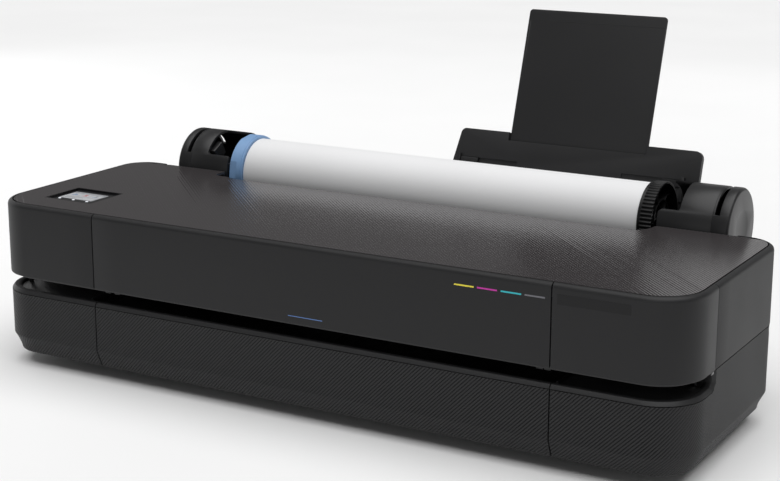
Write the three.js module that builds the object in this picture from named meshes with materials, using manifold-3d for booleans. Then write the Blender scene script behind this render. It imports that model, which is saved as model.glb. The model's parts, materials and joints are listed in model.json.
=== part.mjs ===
// Large format plotter, 24 inch, with a front-top lid, an exposed media roll and a raised sheet tray.
// Millimetres, +Z up, front towards -Y. Design coordinates: front face at y = 0, floor at z = 0.
import * as THREE from "three";
import { mergeVertices } from "three/addons/utils/BufferGeometryUtils.js";
import Module from "manifold-3d";

// ---- driving dimensions ----
const HALF = 506.5;
const SIDE_DEPTH = 330;
const REAR_DEPTH = 441;
const REAR_HALF = 449;
const FRONT_R = 60;
const BACK_R = 42.5;
const WALL = 3;
const SEAM = 1;
const LID_TOP = 232.4;
const FACE_TOP = 228.2;
const LID_INSET = 6.8;
const LID_AXIS_Y = 319.6;
const LID_AXIS_Z = 229.2;
const SLOT_TOP = 130.5;
const SLOT_BOTTOM = 111.6;
const COVER_INSET = 0.6;
const SKIRT_INSET = 11;
const SKIRT_BOTTOM = 18.5;
const SKIRT_TOP = 43;
const SIDE_SEAM_Y = 90.2;
const SIDE_SEAM_Z = 128.5;
const SEAM_LEFT = -327.6;
const SEAM_RIGHT = 339.6;
const DECK_TOP = 107;
const UNDERSIDE = 9;
const ROLL_Y = 379;
const ROLL_Z = 226.8;
const ROLL_R = 48;
const DRUM_R = 54.5;
const PAPER_LEFT = -312.5;
const PAPER_RIGHT = 310;
const RING_LEFT = -334.6;
const GEAR_RIGHT = 330.9;
const GEAR_LIP = 5;
const CARRIAGE_X = 400;
const ROD_Y = 200;
const ROD_Z = 160;
const FEED_Y = 205;
const FEED_Z = 112;
const FEED_R = 9;
const PULLEY_X = 455;
const PULLEY_Y = 240;
const PULLEY_R = 8;
const BAY_LEFT = 344;
const BAY_RIGHT = 470;
const CARTRIDGE_W = 26.4;
const DOOR_AXIS_X = 504;
const DOOR_AXIS_Y = 84;
const TRAY_LEAN = (18 * Math.PI) / 180;
const TRAY_Y = 440;
const TRAY_Z = 230;
const TRAY_THICK = 9;
const TRAY_CENTRE = 158.5;

const wasm = await Module();
wasm.setup();
const group = new THREE.Group();
group.name = "large_format_plotter";

// ---- finishes ----
const finish = (color, roughness, metalness = 0) => ({ color, roughness, metalness });
const SHELL = finish(0x333335, 0.55);
const RIBBED = finish(0x2f2f31, 0.5);
const LID = finish(0x4a4748, 0.35);
const DARK = finish(0x1c1c1e, 0.6);
const TRAY = finish(0x2b2b2c, 0.7);
const RUBBER = finish(0x151515, 0.9);
const STEEL = finish(0xb4b6b8, 0.35, 0.9);
const SHEET = finish(0x9a9c9e, 0.5, 0.8);
const PAPER = finish(0xf2f2f0, 0.8);
const CARD = finish(0xa88960, 0.9);
const BLUE = finish(0x82aad7, 0.5);
const BOARD = finish(0x1f5a35, 0.6);

// ---- geometry helpers ----
const AXIS_X = new THREE.Vector3(1, 0, 0);
const AXIS_Y = new THREE.Vector3(0, 1, 0);
const AXIS_Z = new THREE.Vector3(0, 0, 1);
const ALONG_X = new THREE.Matrix4().makeBasis(AXIS_Y, AXIS_Z, AXIS_X);
const TRAY_UP = new THREE.Vector3(0, Math.sin(TRAY_LEAN), Math.cos(TRAY_LEAN));
const TRAY_FRONT = new THREE.Vector3(0, -Math.cos(TRAY_LEAN), Math.sin(TRAY_LEAN));
const IN_TRAY = new THREE.Matrix4()
  .makeBasis(AXIS_X, TRAY_UP, TRAY_FRONT)
  .setPosition(0, TRAY_Y, TRAY_Z);

function solid(geometry) {
  const bare = geometry.clone();
  bare.deleteAttribute("normal");
  bare.deleteAttribute("uv");
  const merged = mergeVertices(bare, 1e-4);
  return new wasm.Manifold(
    new wasm.Mesh({
      numProp: 3,
      vertProperties: Float32Array.from(merged.attributes.position.array),
      triVerts: Uint32Array.from(merged.index.array),
    }),
  );
}

const union = (parts) => parts.reduce((whole, part) => whole.add(part));
const cut = (body, parts) => parts.reduce((rest, part) => rest.subtract(part), body);

function box(x0, x1, y0, y1, z0, z1) {
  const geometry = new THREE.BoxGeometry(x1 - x0, y1 - y0, z1 - z0);
  return solid(geometry.translate((x0 + x1) / 2, (y0 + y1) / 2, (z0 + z1) / 2));
}

function rod(x0, x1, y, z, radius, sides = 24) {
  const geometry = new THREE.CylinderGeometry(radius, radius, x1 - x0, sides);
  return solid(geometry.rotateZ(Math.PI / 2).translate((x0 + x1) / 2, y, z));
}

function post(x, y, z0, z1, radius, sides = 24) {
  const geometry = new THREE.CylinderGeometry(radius, radius, z1 - z0, sides);
  return solid(geometry.rotateX(Math.PI / 2).translate(x, y, (z0 + z1) / 2));
}

function slab(shape, z0, z1) {
  const geometry = new THREE.ExtrudeGeometry(shape, {
    depth: z1 - z0,
    bevelEnabled: false,
    curveSegments: 4,
  });
  return solid(geometry.translate(0, 0, z0));
}

// Extrusion whose outline grows by `grow` over `rise` at each end.
function chamfered(shape, z0, z1, rise, grow) {
  const geometry = new THREE.ExtrudeGeometry(shape, {
    depth: z1 - z0 - 2 * rise,
    bevelThickness: rise,
    bevelSize: grow,
    bevelSegments: 1,
    curveSegments: 4,
  });
  return solid(geometry.translate(0, 0, z0 + rise));
}

function acrossX(points, x0, x1) {
  const shape = new THREE.Shape(points.map(([y, z]) => new THREE.Vector2(y, z)));
  const geometry = new THREE.ExtrudeGeometry(shape, { depth: x1 - x0, bevelEnabled: false });
  return solid(geometry.applyMatrix4(ALONG_X).translate(x0, 0, 0));
}

function add(name, body, look) {
  const mesh = body.getMesh();
  const geometry = new THREE.BufferGeometry();
  geometry.setAttribute("position", new THREE.BufferAttribute(mesh.vertProperties, 3));
  geometry.setIndex(new THREE.BufferAttribute(mesh.triVerts, 1));
  geometry.computeVertexNormals();
  const part = new THREE.Mesh(geometry, new THREE.MeshStandardMaterial(look));
  part.name = name;
  group.add(part);
}

function roundedRect(x0, x1, y0, y1, front, back) {
  const shape = new THREE.Shape();
  shape.moveTo(x0 + front, y0);
  shape.lineTo(x1 - front, y0);
  shape.absarc(x1 - front, y0 + front, front, -Math.PI / 2, 0, false);
  shape.lineTo(x1, y1 - back);
  shape.absarc(x1 - back, y1 - back, back, 0, Math.PI / 2, false);
  shape.lineTo(x0 + back, y1);
  shape.absarc(x0 + back, y1 - back, back, Math.PI / 2, Math.PI, false);
  shape.lineTo(x0, y0 + front);
  shape.absarc(x0 + front, y0 + front, front, Math.PI, 1.5 * Math.PI, false);
  return shape;
}

function plan(inset) {
  const front = Math.max(FRONT_R - inset, 4);
  const back = Math.max(BACK_R - inset, 4);
  return roundedRect(-HALF + inset, HALF - inset, inset, SIDE_DEPTH - inset, front, back);
}

// ---- lower shell ----
const FAR = 700;
const SKIRT_RISE = SKIRT_TOP - SKIRT_BOTTOM;
const SKIRT_FLARE = SKIRT_INSET - COVER_INSET;
const skirtOuter = chamfered(plan(SKIRT_INSET), SKIRT_BOTTOM, FAR, SKIRT_RISE, SKIRT_FLARE);
const skirtInner = chamfered(
  plan(SKIRT_INSET + WALL),
  SKIRT_BOTTOM - 0.01,
  FAR + 1,
  SKIRT_RISE,
  SKIRT_FLARE,
);
const rimmed = chamfered(plan(COVER_INSET + 3.6), -100, SLOT_BOTTOM, 5, 3.6);
const behindSeam = box(-FAR, FAR, SIDE_SEAM_Y, FAR, 0, SIDE_SEAM_Z - 0.3);
const lowerShell = cut(union([skirtOuter.intersect(rimmed), skirtOuter.intersect(behindSeam)]), [
  skirtInner,
  box(-REAR_HALF - 0.5, REAR_HALF + 0.5, SIDE_DEPTH - 30, FAR, 0, FAR),
]);
const slotEnd = (x0, x1) => box(x0, x1, SIDE_SEAM_Y, SIDE_SEAM_Y + WALL, 100, 128.2);
const lowerCenter = box(SEAM_LEFT + SEAM / 2, SEAM_RIGHT - SEAM / 2, 0, 60, 0, FAR);
const lowerLeft = box(-FAR, SEAM_LEFT - SEAM / 2, -1, FAR, 0, FAR);
const lowerRight = box(SEAM_RIGHT + SEAM / 2, FAR, -1, FAR, 0, FAR);
add("lower_cover_center", lowerShell.intersect(lowerCenter), RIBBED);
add("lower_cover_left", lowerShell.intersect(lowerLeft).add(slotEnd(-503, -484)), RIBBED);
add("lower_cover_right", lowerShell.intersect(lowerRight).add(slotEnd(484, 503)), RIBBED);

// ---- chassis and feet ----
const chassisPan = union([
  slab(plan(20), 18, 21),
  box(-430, 430, 300, REAR_DEPTH - 12, 18, 21),
  slab(plan(50), UNDERSIDE, 18.5),
  box(-400, 400, 270, REAR_DEPTH - 40, UNDERSIDE, 18.5),
]);
const hingePosts = [-445, 441].map((x) =>
  union([
    box(x, x + 4, 290, 322, 20, 120),
    box(x, x + 4, LID_AXIS_Y - 3, LID_AXIS_Y + 3, 20, LID_AXIS_Z),
    rod(x, x + 4, LID_AXIS_Y, LID_AXIS_Z, 3, 16),
  ]),
);
const hingeBores = rod(-450, 450, LID_AXIS_Y, LID_AXIS_Z, 1.8, 12);
add("base_chassis", cut(union([chassisPan, ...hingePosts]), [hingeBores]), DARK);
for (const [name, x, y] of [
  ["foot_front_left", -400, 80],
  ["foot_front_right", 400, 80],
  ["foot_rear_left", -360, 370],
  ["foot_rear_right", 360, 370],
]) {
  add(name, post(x, y, 0, UNDERSIDE - 0.3, 17), RUBBER);
}

// ---- upper shell ----
const RIM = LID_TOP - FACE_TOP;
const upperBlock = chamfered(plan(LID_INSET), -100, LID_TOP, RIM, LID_INSET);
const upperOuter = upperBlock.intersect(box(-FAR, FAR, -FAR, FAR, SLOT_TOP, FAR));
const upperInner = chamfered(plan(LID_INSET + WALL), -101, LID_TOP - WALL, RIM, LID_INSET);
const lidOpening = slab(
  roundedRect(
    -HALF + LID_INSET,
    HALF - LID_INSET,
    LID_INSET + 0.1,
    SIDE_DEPTH - LID_INSET,
    FRONT_R - LID_INSET,
    BACK_R - LID_INSET,
  ),
  LID_TOP - 7.4,
  FAR,
);
const upperShell = cut(upperOuter, [
  upperInner,
  lidOpening,
  box(-REAR_HALF - 0.5, REAR_HALF + 0.5, SIDE_DEPTH - 30, FAR, 0, FAR),
]);
const upperCenter = box(SEAM_LEFT + SEAM / 2, SEAM_RIGHT - SEAM / 2, -1, 60, 0, FAR);
add("front_panel_center", upperShell.intersect(upperCenter), SHELL);
const frontZone = (x0, x1) => box(x0, x1, -1, SIDE_SEAM_Y - 0.5, 0, FAR);
add("front_cover_left", upperShell.intersect(frontZone(-FAR, SEAM_LEFT - SEAM / 2)), SHELL);
const doorShell = upperShell.intersect(frontZone(SEAM_RIGHT + SEAM / 2, FAR));
const doorKnuckle = post(DOOR_AXIS_X, DOOR_AXIS_Y, 138, 220, 2.2, 12);
const doorPin = post(DOOR_AXIS_X, DOOR_AXIS_Y, 127, 139, 1.2, 12);
const doorCorner = box(DOOR_AXIS_X - 10, DOOR_AXIS_X, DOOR_AXIS_Y, DOOR_AXIS_Y + 8, 120, 240);
const doorRelief = doorCorner.subtract(post(DOOR_AXIS_X, DOOR_AXIS_Y, 119, 241, 5.5));
add("ink_door", union([cut(doorShell, [doorRelief]), doorKnuckle, doorPin]), SHELL);
const sideZone = (x0, x1) => box(x0, x1, SIDE_SEAM_Y + 0.6, FAR, SIDE_SEAM_Z + 0.3, FAR);
const lidSweep = (x0, x1) => rod(x0, x1, LID_AXIS_Y, LID_AXIS_Z, 4.6, 20);
add("side_cover_left", upperShell.intersect(sideZone(-FAR, 0)).subtract(lidSweep(-486, -460)), SHELL);
add("side_cover_right", upperShell.intersect(sideZone(0, FAR)).subtract(lidSweep(460, 486)), SHELL);

// ---- lid with the display ----
function lidShape() {
  const inset = LID_INSET + 1;
  return roundedRect(
    -HALF + inset + 0.6,
    HALF - inset - 0.6,
    LID_INSET + 0.5,
    SIDE_DEPTH - LID_INSET - 0.7,
    FRONT_R - inset,
    BACK_R - inset,
  );
}
function rollRecess() {
  const shape = new THREE.Shape();
  shape.moveTo(-338, 360);
  shape.lineTo(-337, 300);
  shape.quadraticCurveTo(-336, 292, -328, 292);
  shape.lineTo(-314, 291);
  shape.quadraticCurveTo(-308, 291, -305, 285);
  shape.lineTo(-303, 284);
  shape.lineTo(322, 284);
  shape.bezierCurveTo(345, 285, 338, 300, 340, 316);
  shape.quadraticCurveTo(341, 322, 346, 324.5);
  shape.lineTo(346, 360);
  return shape;
}
const DISPLAY = { x0: -452.4, x1: -372, y0: 52, y1: 124.2, floor: 230 };
const KEY_X = [-438.5, -414.5, -390.5];
const KEY_Y = 67.5;
const displayBox = (inset, z0, z1) =>
  box(DISPLAY.x0 + inset, DISPLAY.x1 - inset, DISPLAY.y0 + inset, DISPLAY.y1 - inset, z0, z1);
const lidPlate = slab(lidShape(), LID_TOP - 3.2, LID_TOP);
const lidRing = cut(slab(roundedRect(-470, 470, 30, 270, 30, 10), 222, LID_TOP - 3), [
  slab(roundedRect(-467, 467, 33, 267, 27, 7), 221, LID_TOP - 3.1),
]);
const lidRibs = [-240, 0, 240].map((x) => box(x - 1.5, x + 1.5, 32, 268, 224, LID_TOP - 3));
const lidNose = union([
  rod(-466, -330, LID_AXIS_Y, LID_AXIS_Z, 3.2, 16),
  rod(330, 466, LID_AXIS_Y, LID_AXIS_Z, 3.2, 16),
]);
const squareEdge = box(-484, 484, LID_AXIS_Y, 340, 220, 240);
const eyeGaps = [-445.8, 440.2].map((x) => box(x, x + 5.6, LID_AXIS_Y - 5, 340, 220, 240));
const lidPins = [-447, 439].map((x) => rod(x, x + 8, LID_AXIS_Y, LID_AXIS_Z, 1.5, 12));
const lidBody = cut(union([cut(union([lidPlate, lidRing, ...lidRibs]), [squareEdge]), lidNose]), [
  slab(rollRecess(), 0, FAR),
  displayBox(0, 200, FAR),
  ...eyeGaps,
]);
add("top_cover", union([lidBody, ...lidPins]), LID);
const keyHoles = KEY_X.map((x) => post(x, KEY_Y, 226, FAR, 2.5, 16));
add(
  "display_bezel",
  cut(displayBox(0.3, 222, LID_TOP - 0.1), [
    displayBox(1.5, DISPLAY.floor, FAR),
    box(-444.1, -386.3, 71.4, 110.3, 227.7, FAR),
    ...keyHoles,
  ]),
  finish(0x111113, 0.3),
);
add("display_screen", box(-443.8, -386.6, 71.7, 110, 228, 230.2), finish(0xb9bcc0, 0.2));
["key_home", "key_back", "key_help"].forEach((name, i) => {
  add(name, post(KEY_X[i], KEY_Y, 227.2, 230.6, 2.1, 16), finish(0xe4e6ea, 0.4));
});

// ---- output deck and chin around the paper slot ----
const deck = slab(plan(COVER_INSET + WALL + 1), DECK_TOP - 3, DECK_TOP);
add(
  "output_deck",
  cut(deck, [box(-FAR, FAR, SIDE_SEAM_Y - 0.5, FAR, 0, FAR), box(-342, 342, 74, FAR, 0, FAR)]),
  DARK,
);
const CHIN_BOTTOM = 126.5;
const CHIN_TOP = SLOT_TOP - 0.4;
const chin = cut(slab(plan(9), CHIN_BOTTOM, CHIN_TOP), [box(-FAR, FAR, 74, FAR, 0, FAR)]);
const doorEar = union([
  box(480, 497, 70, 79.5, CHIN_BOTTOM, CHIN_TOP),
  box(480, 505.6, 79, 87.5, CHIN_BOTTOM, CHIN_TOP),
]);
const doorPinHole = post(DOOR_AXIS_X, DOOR_AXIS_Y, 120, 135, 1.5, 12);
add("front_chin", cut(union([chin, doorEar]), [doorPinHole]), DARK);

// ---- rear body ----
const rearShape = roundedRect(-REAR_HALF, REAR_HALF, SIDE_DEPTH + 0.8, REAR_DEPTH, 4, 26);
const rearHollow = roundedRect(
  -REAR_HALF + WALL,
  REAR_HALF - WALL,
  SIDE_DEPTH + 0.8 - 20,
  REAR_DEPTH - WALL,
  4,
  23,
);
const TRAY_PIVOT = { y: TRAY_Y + 4.28, z: TRAY_Z - 1.39 };
const lugProfile = [
  [428, 170],
  [REAR_DEPTH, 170],
  [TRAY_PIVOT.y + 6, TRAY_PIVOT.z - 20],
  [TRAY_PIVOT.y + 6, TRAY_PIVOT.z],
  [TRAY_PIVOT.y + 4, TRAY_PIVOT.z + 5],
  [TRAY_PIVOT.y - 2, TRAY_PIVOT.z + 6],
  [TRAY_PIVOT.y - 6, TRAY_PIVOT.z],
  [TRAY_PIVOT.y - 8, TRAY_PIVOT.z - 26],
  [428, 186],
];
const LUGS = [
  [-34, -27],
  [356, 363],
];
const lugs = LUGS.map(([x0, x1]) => acrossX(lugProfile, x0, x1));
const rearBody = cut(slab(rearShape, SKIRT_BOTTOM + 5, 186), [slab(rearHollow, SKIRT_BOTTOM + 8, 183)]);
const rollClearance = rod(-440, 444, ROLL_Y, ROLL_Z, 60, 40);
add(
  "rear_cover",
  cut(union([rearBody, ...lugs]), [
    rollClearance,
    box(-338, 340, 320, 344, 170, 190),
    ...LUGS.map(([x0, x1]) => rod(x0 - 1, x1 + 1, TRAY_PIVOT.y, TRAY_PIVOT.z, 2.6, 16)),
    box(-400, -372, REAR_DEPTH - 10, REAR_DEPTH + 5, 50, 70),
  ]),
  SHELL,
);
const inletBody = box(-399.7, -372.3, REAR_DEPTH - 30, REAR_DEPTH - 0.2, 50.3, 69.7);
const inletBlades = [-390.5, -385.5, -380.5].map((x) =>
  box(x - 1, x + 1, REAR_DEPTH - 17, REAR_DEPTH - 4, 57, 63),
);
add(
  "power_inlet",
  cut(inletBody, [box(-397.5, -374.5, REAR_DEPTH - 16, REAR_DEPTH + 1, 53, 67)]).add(union(inletBlades)),
  DARK,
);

// ---- paper apron and roll cradle ----
function arcPoints(radius, from, to, steps) {
  return Array.from({ length: steps + 1 }, (_, i) => {
    const angle = ((from + ((to - from) * i) / steps) * Math.PI) / 180;
    return [ROLL_Y + radius * Math.cos(angle), ROLL_Z + radius * Math.sin(angle)];
  });
}
const apronProfile = [
  [286, 228.6],
  [286, 225.4],
  [317, 185],
  [336, 184],
  [340, 189],
  [319, 188.5],
  [289, 226.6],
  [288.5, 228.6],
];
const cradleProfile = [...arcPoints(59, 222, 318, 10), ...arcPoints(56, 318, 222, 10)];
const feedSlot = box(-310, 310, 321, 332, 178, 195);
const cradle = union([acrossX(apronProfile, -334, 336), acrossX(cradleProfile, -334, 336)]);
add("roll_cradle", cut(cradle, [feedSlot]), DARK);

// ---- roll holders ----
function rollHolder(side, outer, cutAt, armEnd) {
  const span = (a, b) => [Math.min(side * a, side * b), Math.max(side * a, side * b)];
  const [x0, x1] = span(armEnd, outer);
  const [h0, h1] = span(armEnd - 2, outer - 6);
  const [c0, c1] = span(armEnd - 3, cutAt);
  const [s0, s1] = span(armEnd + 12, armEnd + 20);
  const [g0, g1] = span(outer - 20, outer - 14.5);
  const drum = rod(x0, x1, ROLL_Y, ROLL_Z, DRUM_R, 48);
  const groove = cut(rod(g0, g1, ROLL_Y, ROLL_Z, DRUM_R + 2, 48), [
    rod(g0 - 1, g1 + 1, ROLL_Y, ROLL_Z, DRUM_R - 2.4, 48),
    box(g0 - 1, g1 + 1, 300, 460, 0, ROLL_Z + 26),
  ]);
  const hollow = rod(h0, h1, ROLL_Y, ROLL_Z, DRUM_R - 4, 40);
  const cutOut = box(c0, c1, 300, ROLL_Y + 12.5, ROLL_Z + 26, 300);
  const shell = cut(drum, [hollow, cutOut, groove]);
  const saddle = cut(box(s0, s1, ROLL_Y - 40, ROLL_Y + 40, ROLL_Z - 40, ROLL_Z + 10), [
    rod(s0 - 1, s1 + 1, ROLL_Y, ROLL_Z, 11.3, 24),
    box(s0 - 1, s1 + 1, ROLL_Y - 11.3, ROLL_Y + 11.3, ROLL_Z, 300),
  ]);
  const saddleSkirt = cut(rod(s0, s1, ROLL_Y, ROLL_Z, DRUM_R - 1, 40), [
    box(s0 - 1, s1 + 1, 300, 460, ROLL_Z - 20, 300),
  ]);
  const pedestal = box(x0, x1, ROLL_Y - 24, ROLL_Y + 24, 160, ROLL_Z - 48);
  return union([shell, saddle, saddleSkirt, pedestal]);
}
add("roll_holder_left", rollHolder(-1, 428, 376.5, 337.5), SHELL);
add("roll_holder_right", rollHolder(1, 436, 368.5, 339.5), SHELL);

// ---- media roll and spindle ----
function tube(x0, x1, outer, inner, sides = 48) {
  return cut(rod(x0, x1, ROLL_Y, ROLL_Z, outer, sides), [rod(x0 - 1, x1 + 1, ROLL_Y, ROLL_Z, inner, sides)]);
}
add("spindle_shaft", rod(-368, 368, ROLL_Y, ROLL_Z, 8, 24), STEEL);
for (const [name, side, at] of [
  ["spindle_bearing_left", -1, 353.5],
  ["spindle_bearing_right", 1, 355.5],
]) {
  const ends = [side * (at - 7), side * (at + 7)].sort((a, b) => a - b);
  add(name, tube(ends[0], ends[1], 11, 8.3, 24), DARK);
}
add("paper_core", tube(PAPER_LEFT + 0.5, PAPER_RIGHT - 0.5, 27.2, 25, 32), CARD);
add("paper_roll", tube(PAPER_LEFT, PAPER_RIGHT, ROLL_R, 27.5, 64), PAPER);
// Rim, web and a hub that plugs into the core.
function flange(rim, rimInner, web, hub) {
  return union([rim, tube(web[0], web[1], rimInner + 1, 20), tube(hub[0], hub[1], 24.4, 8.3, 32)]);
}
const RING_RIGHT = PAPER_LEFT - 0.3;
const GEAR_LEFT = PAPER_RIGHT + 0.3;
const HUB_PLUG = 14;
const ringBody = tube(RING_LEFT, RING_RIGHT, 52.5, 46, 48);
const ringFacets = [9, 81, 153, 225, 297].map((deg) => {
  const angle = (deg * Math.PI) / 180;
  return rod(
    RING_LEFT - 0.5,
    RING_LEFT + 14,
    ROLL_Y - 59 * Math.cos(angle),
    ROLL_Z + 59 * Math.sin(angle),
    8.2,
    12,
  );
});
add(
  "flange_blue",
  flange(
    cut(ringBody, ringFacets),
    46,
    [RING_LEFT + 4, RING_RIGHT - 0.3],
    [RING_LEFT, RING_RIGHT + HUB_PLUG],
  ),
  BLUE,
);
function knurled(x0, x1, radius, depth, teeth) {
  const points = [];
  for (let i = 0; i < teeth; i += 1) {
    for (const [offset, r] of [
      [0, radius - depth],
      [0.3, radius],
      [0.7, radius],
    ]) {
      const angle = ((i + offset) / teeth) * 2 * Math.PI;
      points.push([ROLL_Y + r * Math.cos(angle), ROLL_Z + r * Math.sin(angle)]);
    }
  }
  return acrossX(points, x0, x1);
}
const gearLip = rod(GEAR_LEFT, GEAR_LEFT + GEAR_LIP, ROLL_Y, ROLL_Z, 50.2, 64);
const gearOpening = rod(PAPER_RIGHT - 1, GEAR_RIGHT + 1, ROLL_Y, ROLL_Z, 45, 48);
const gearTeeth = knurled(GEAR_LEFT + GEAR_LIP - 0.5, GEAR_RIGHT, 51.8, 1.6, 60);
const gearRim = cut(union([gearLip, gearTeeth]), [gearOpening]);
add(
  "flange_black",
  flange(gearRim, 45, [GEAR_LEFT + 0.3, GEAR_RIGHT - 6], [GEAR_LEFT - HUB_PLUG, GEAR_RIGHT]),
  DARK,
);

// ---- print engine ----
for (const [name, x0] of [
  ["side_frame_left", -480],
  ["side_frame_right", 477],
]) {
  const plate = box(x0, x0 + 3, 104, 300, 21.3, 218);
  add(name, cut(plate, [rod(x0 - 1, x0 + 4, 270, 120, 22, 16)]), SHEET);
}
add(
  "guide_rail",
  cut(union([box(-476.5, 476.5, 259.5, 262, 148, 205), box(-476.5, 476.5, 224, 262, 148, 150.5)]), [
    post(PULLEY_X, PULLEY_Y, 140, 160, 5),
    post(-PULLEY_X, PULLEY_Y, 140, 160, 5),
  ]),
  SHEET,
);
add("guide_rod", rod(-476.6, 476.6, ROD_Y, ROD_Z, 6), STEEL);
const carriageBlock = union([
  box(CARRIAGE_X - 42, CARRIAGE_X + 42, 128, 216, 134, 200),
  box(CARRIAGE_X - 34, CARRIAGE_X + 34, 134, 200, 199, 212),
  box(CARRIAGE_X - 10, CARRIAGE_X + 10, 214, 229.8, 168, 176),
]);
add(
  "carriage",
  cut(carriageBlock, [
    rod(CARRIAGE_X - 50, CARRIAGE_X + 50, ROD_Y, ROD_Z, 6.3),
    box(CARRIAGE_X - 24.3, CARRIAGE_X + 24.3, 139.7, 180.3, 130, 164.3),
  ]),
  finish(0x26262a, 0.5),
);
add("printhead", box(CARRIAGE_X - 24, CARRIAGE_X + 24, 140, 180, 123.5, 164), finish(0x3c3c44, 0.4));
const beltOuter = roundedRect(-PULLEY_X - 10.5, PULLEY_X + 10.5, PULLEY_Y - 9.5, PULLEY_Y + 9.5, 9.4, 9.4);
const beltInner = roundedRect(-PULLEY_X - 9.3, PULLEY_X + 9.3, PULLEY_Y - 8.3, PULLEY_Y + 8.3, 8.2, 8.2);
add("carriage_belt", cut(slab(beltOuter, 168, 174), [slab(beltInner, 167, 175)]), RUBBER);
const pulley = (x) =>
  union([post(x, PULLEY_Y, 166, 176, PULLEY_R - 0.2), post(x, PULLEY_Y, 144.3, 166, 2.5)]);
add("drive_pulley", pulley(PULLEY_X), STEEL);
add("idler_pulley", pulley(-PULLEY_X), STEEL);
add("carriage_motor", post(PULLEY_X, PULLEY_Y, 104, 144, 18, 20), DARK);
const platenRibs = [-280, -200, -120, -40, 40, 120, 200, 280].map((x) =>
  box(x - 2, x + 2, 98, 188, 116, 120),
);
add("platen", union([box(-325, 325, 96, 190, 104, 117), ...platenRibs]), DARK);
const feedWheel = rod(-352, -344, FEED_Y, FEED_Z, 20, 40);
add("feed_roller", rod(-345, 340, FEED_Y, FEED_Z, FEED_R, 32).add(feedWheel), STEEL);
const pinchTyres = [-270, -162, -54, 54, 162, 270].map((x) => rod(x - 9, x + 9, FEED_Y + 1, 126, 4.4, 20));
add("pinch_shaft", union([rod(-320, 320, FEED_Y + 1, 126, 2.6, 16), ...pinchTyres]), RUBBER);
add("exit_roller", rod(-322, 322, 84, 108, 7, 24), RUBBER);
const cutterSlot = box(-350, -300, 50, 74.4, 126.2, SLOT_TOP - 0.1);
add("cutter_unit", cut(box(-338, -314, 62, 80, 117, 134), [cutterSlot]), finish(0x3a3a3e, 0.5));
const stationBox = box(348, 452, 118, 194, 60, 114);
const capPad = cut(box(377, 423, 141, 179, 62, 121.5), [box(381, 419, 145, 175, 118, 130)]);
add("service_station", cut(stationBox, [box(351, 449, 121, 191, 63, 120)]).add(capPad), DARK);

// ---- ink bay ----
const bayPitch = (BAY_RIGHT - BAY_LEFT - 2) / 4;
const bay = box(BAY_LEFT, BAY_RIGHT, 14, 100, 133, 220);
const bayCells = [0, 1, 2, 3].map((i) => {
  const x = BAY_LEFT + 2 + i * bayPitch;
  return box(x, x + bayPitch - 2, 12, 96, 136, 218);
});
add("ink_bay", cut(bay, bayCells), DARK);
["black", "cyan", "magenta", "yellow"].forEach((ink, i) => {
  const x = BAY_LEFT + 2 + i * bayPitch + (bayPitch - 2 - CARTRIDGE_W) / 2;
  const shell = box(x, x + CARTRIDGE_W, 24, 88, 136.4, 212);
  const grip = box(x + 5, x + CARTRIDGE_W - 5, 20, 26, 180, 206);
  add(`cartridge_${ink}`, shell.add(grip), finish(0x2a2a2e, 0.4));
});

// ---- electronics ----
add("main_board", box(-440, -250, 200, 320, 40, 42), BOARD);
add("power_supply", box(-230, -60, 220, 320, 24, 70), SHEET);

// ---- sheet tray, drawn in the plane of the leaning tray ----
const inTray = (body) => body.transform(IN_TRAY.elements);
function trayShape() {
  const shape = new THREE.Shape();
  shape.moveTo(-21, -34);
  shape.lineTo(350, -34);
  shape.lineTo(350, 70);
  shape.absarc(340, 70, 10, 0, Math.PI / 2, false);
  shape.lineTo(-8.5, 80);
  shape.absarc(-8.5, 72, 8, Math.PI / 2, Math.PI * 0.97, false);
  shape.lineTo(-23.5, 30);
  return shape;
}
const EXT = { x0: 61.6, x1: 270, top: 260.5, foot: 26 };
function extensionShape() {
  const shape = new THREE.Shape();
  shape.moveTo(EXT.x0, EXT.foot);
  shape.lineTo(EXT.x1, EXT.foot);
  shape.lineTo(EXT.x1, EXT.top - 5);
  shape.absarc(EXT.x1 - 5, EXT.top - 5, 5, 0, Math.PI / 2, false);
  shape.lineTo(EXT.x0 + 5, EXT.top);
  shape.absarc(EXT.x0 + 5, EXT.top - 5, 5, Math.PI / 2, Math.PI, false);
  return shape;
}
const trayPins = [
  rod(-26.5, -20, 0, -4.5, 4, 16),
  rod(349, 355.5, 0, -4.5, 4, 16),
  rod(-33.5, -25, 0, -4.5, 2.2, 16),
  rod(354, 362.5, 0, -4.5, 2.2, 16),
];
const trayPlate = slab(trayShape(), -TRAY_THICK, 0);
const trayBody = cut(trayPlate, [
  box(EXT.x0 - 0.5, EXT.x1 + 0.5, -16, 90, -6.4, -2.6),
  box(EXT.x0 - 1.8, EXT.x1 - 0.5, 68, 90, -7, 5),
  box(-13.5, 78.6, 28, 38.8, -2.5, 5),
  box(238.4, 330.5, 28, 38.8, -2.5, 5),
  box(-14, 331, -30, -15.6, -6.4, -2.6),
  box(-13.5, 78.6, -27.5, -17, -3, 5),
  box(238.4, 330.5, -27.5, -17, -3, 5),
]);
add("sheet_tray", inTray(union([trayBody, ...trayPins])), TRAY);
const extensionPlate = slab(extensionShape(), -6.1, -2.9);
const extensionHook = box(EXT.x0 + 4, EXT.x1 - 4, EXT.top - 4, EXT.top, -9.5, -3);
add("tray_extension", inTray(extensionPlate.add(extensionHook)), TRAY);
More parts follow.
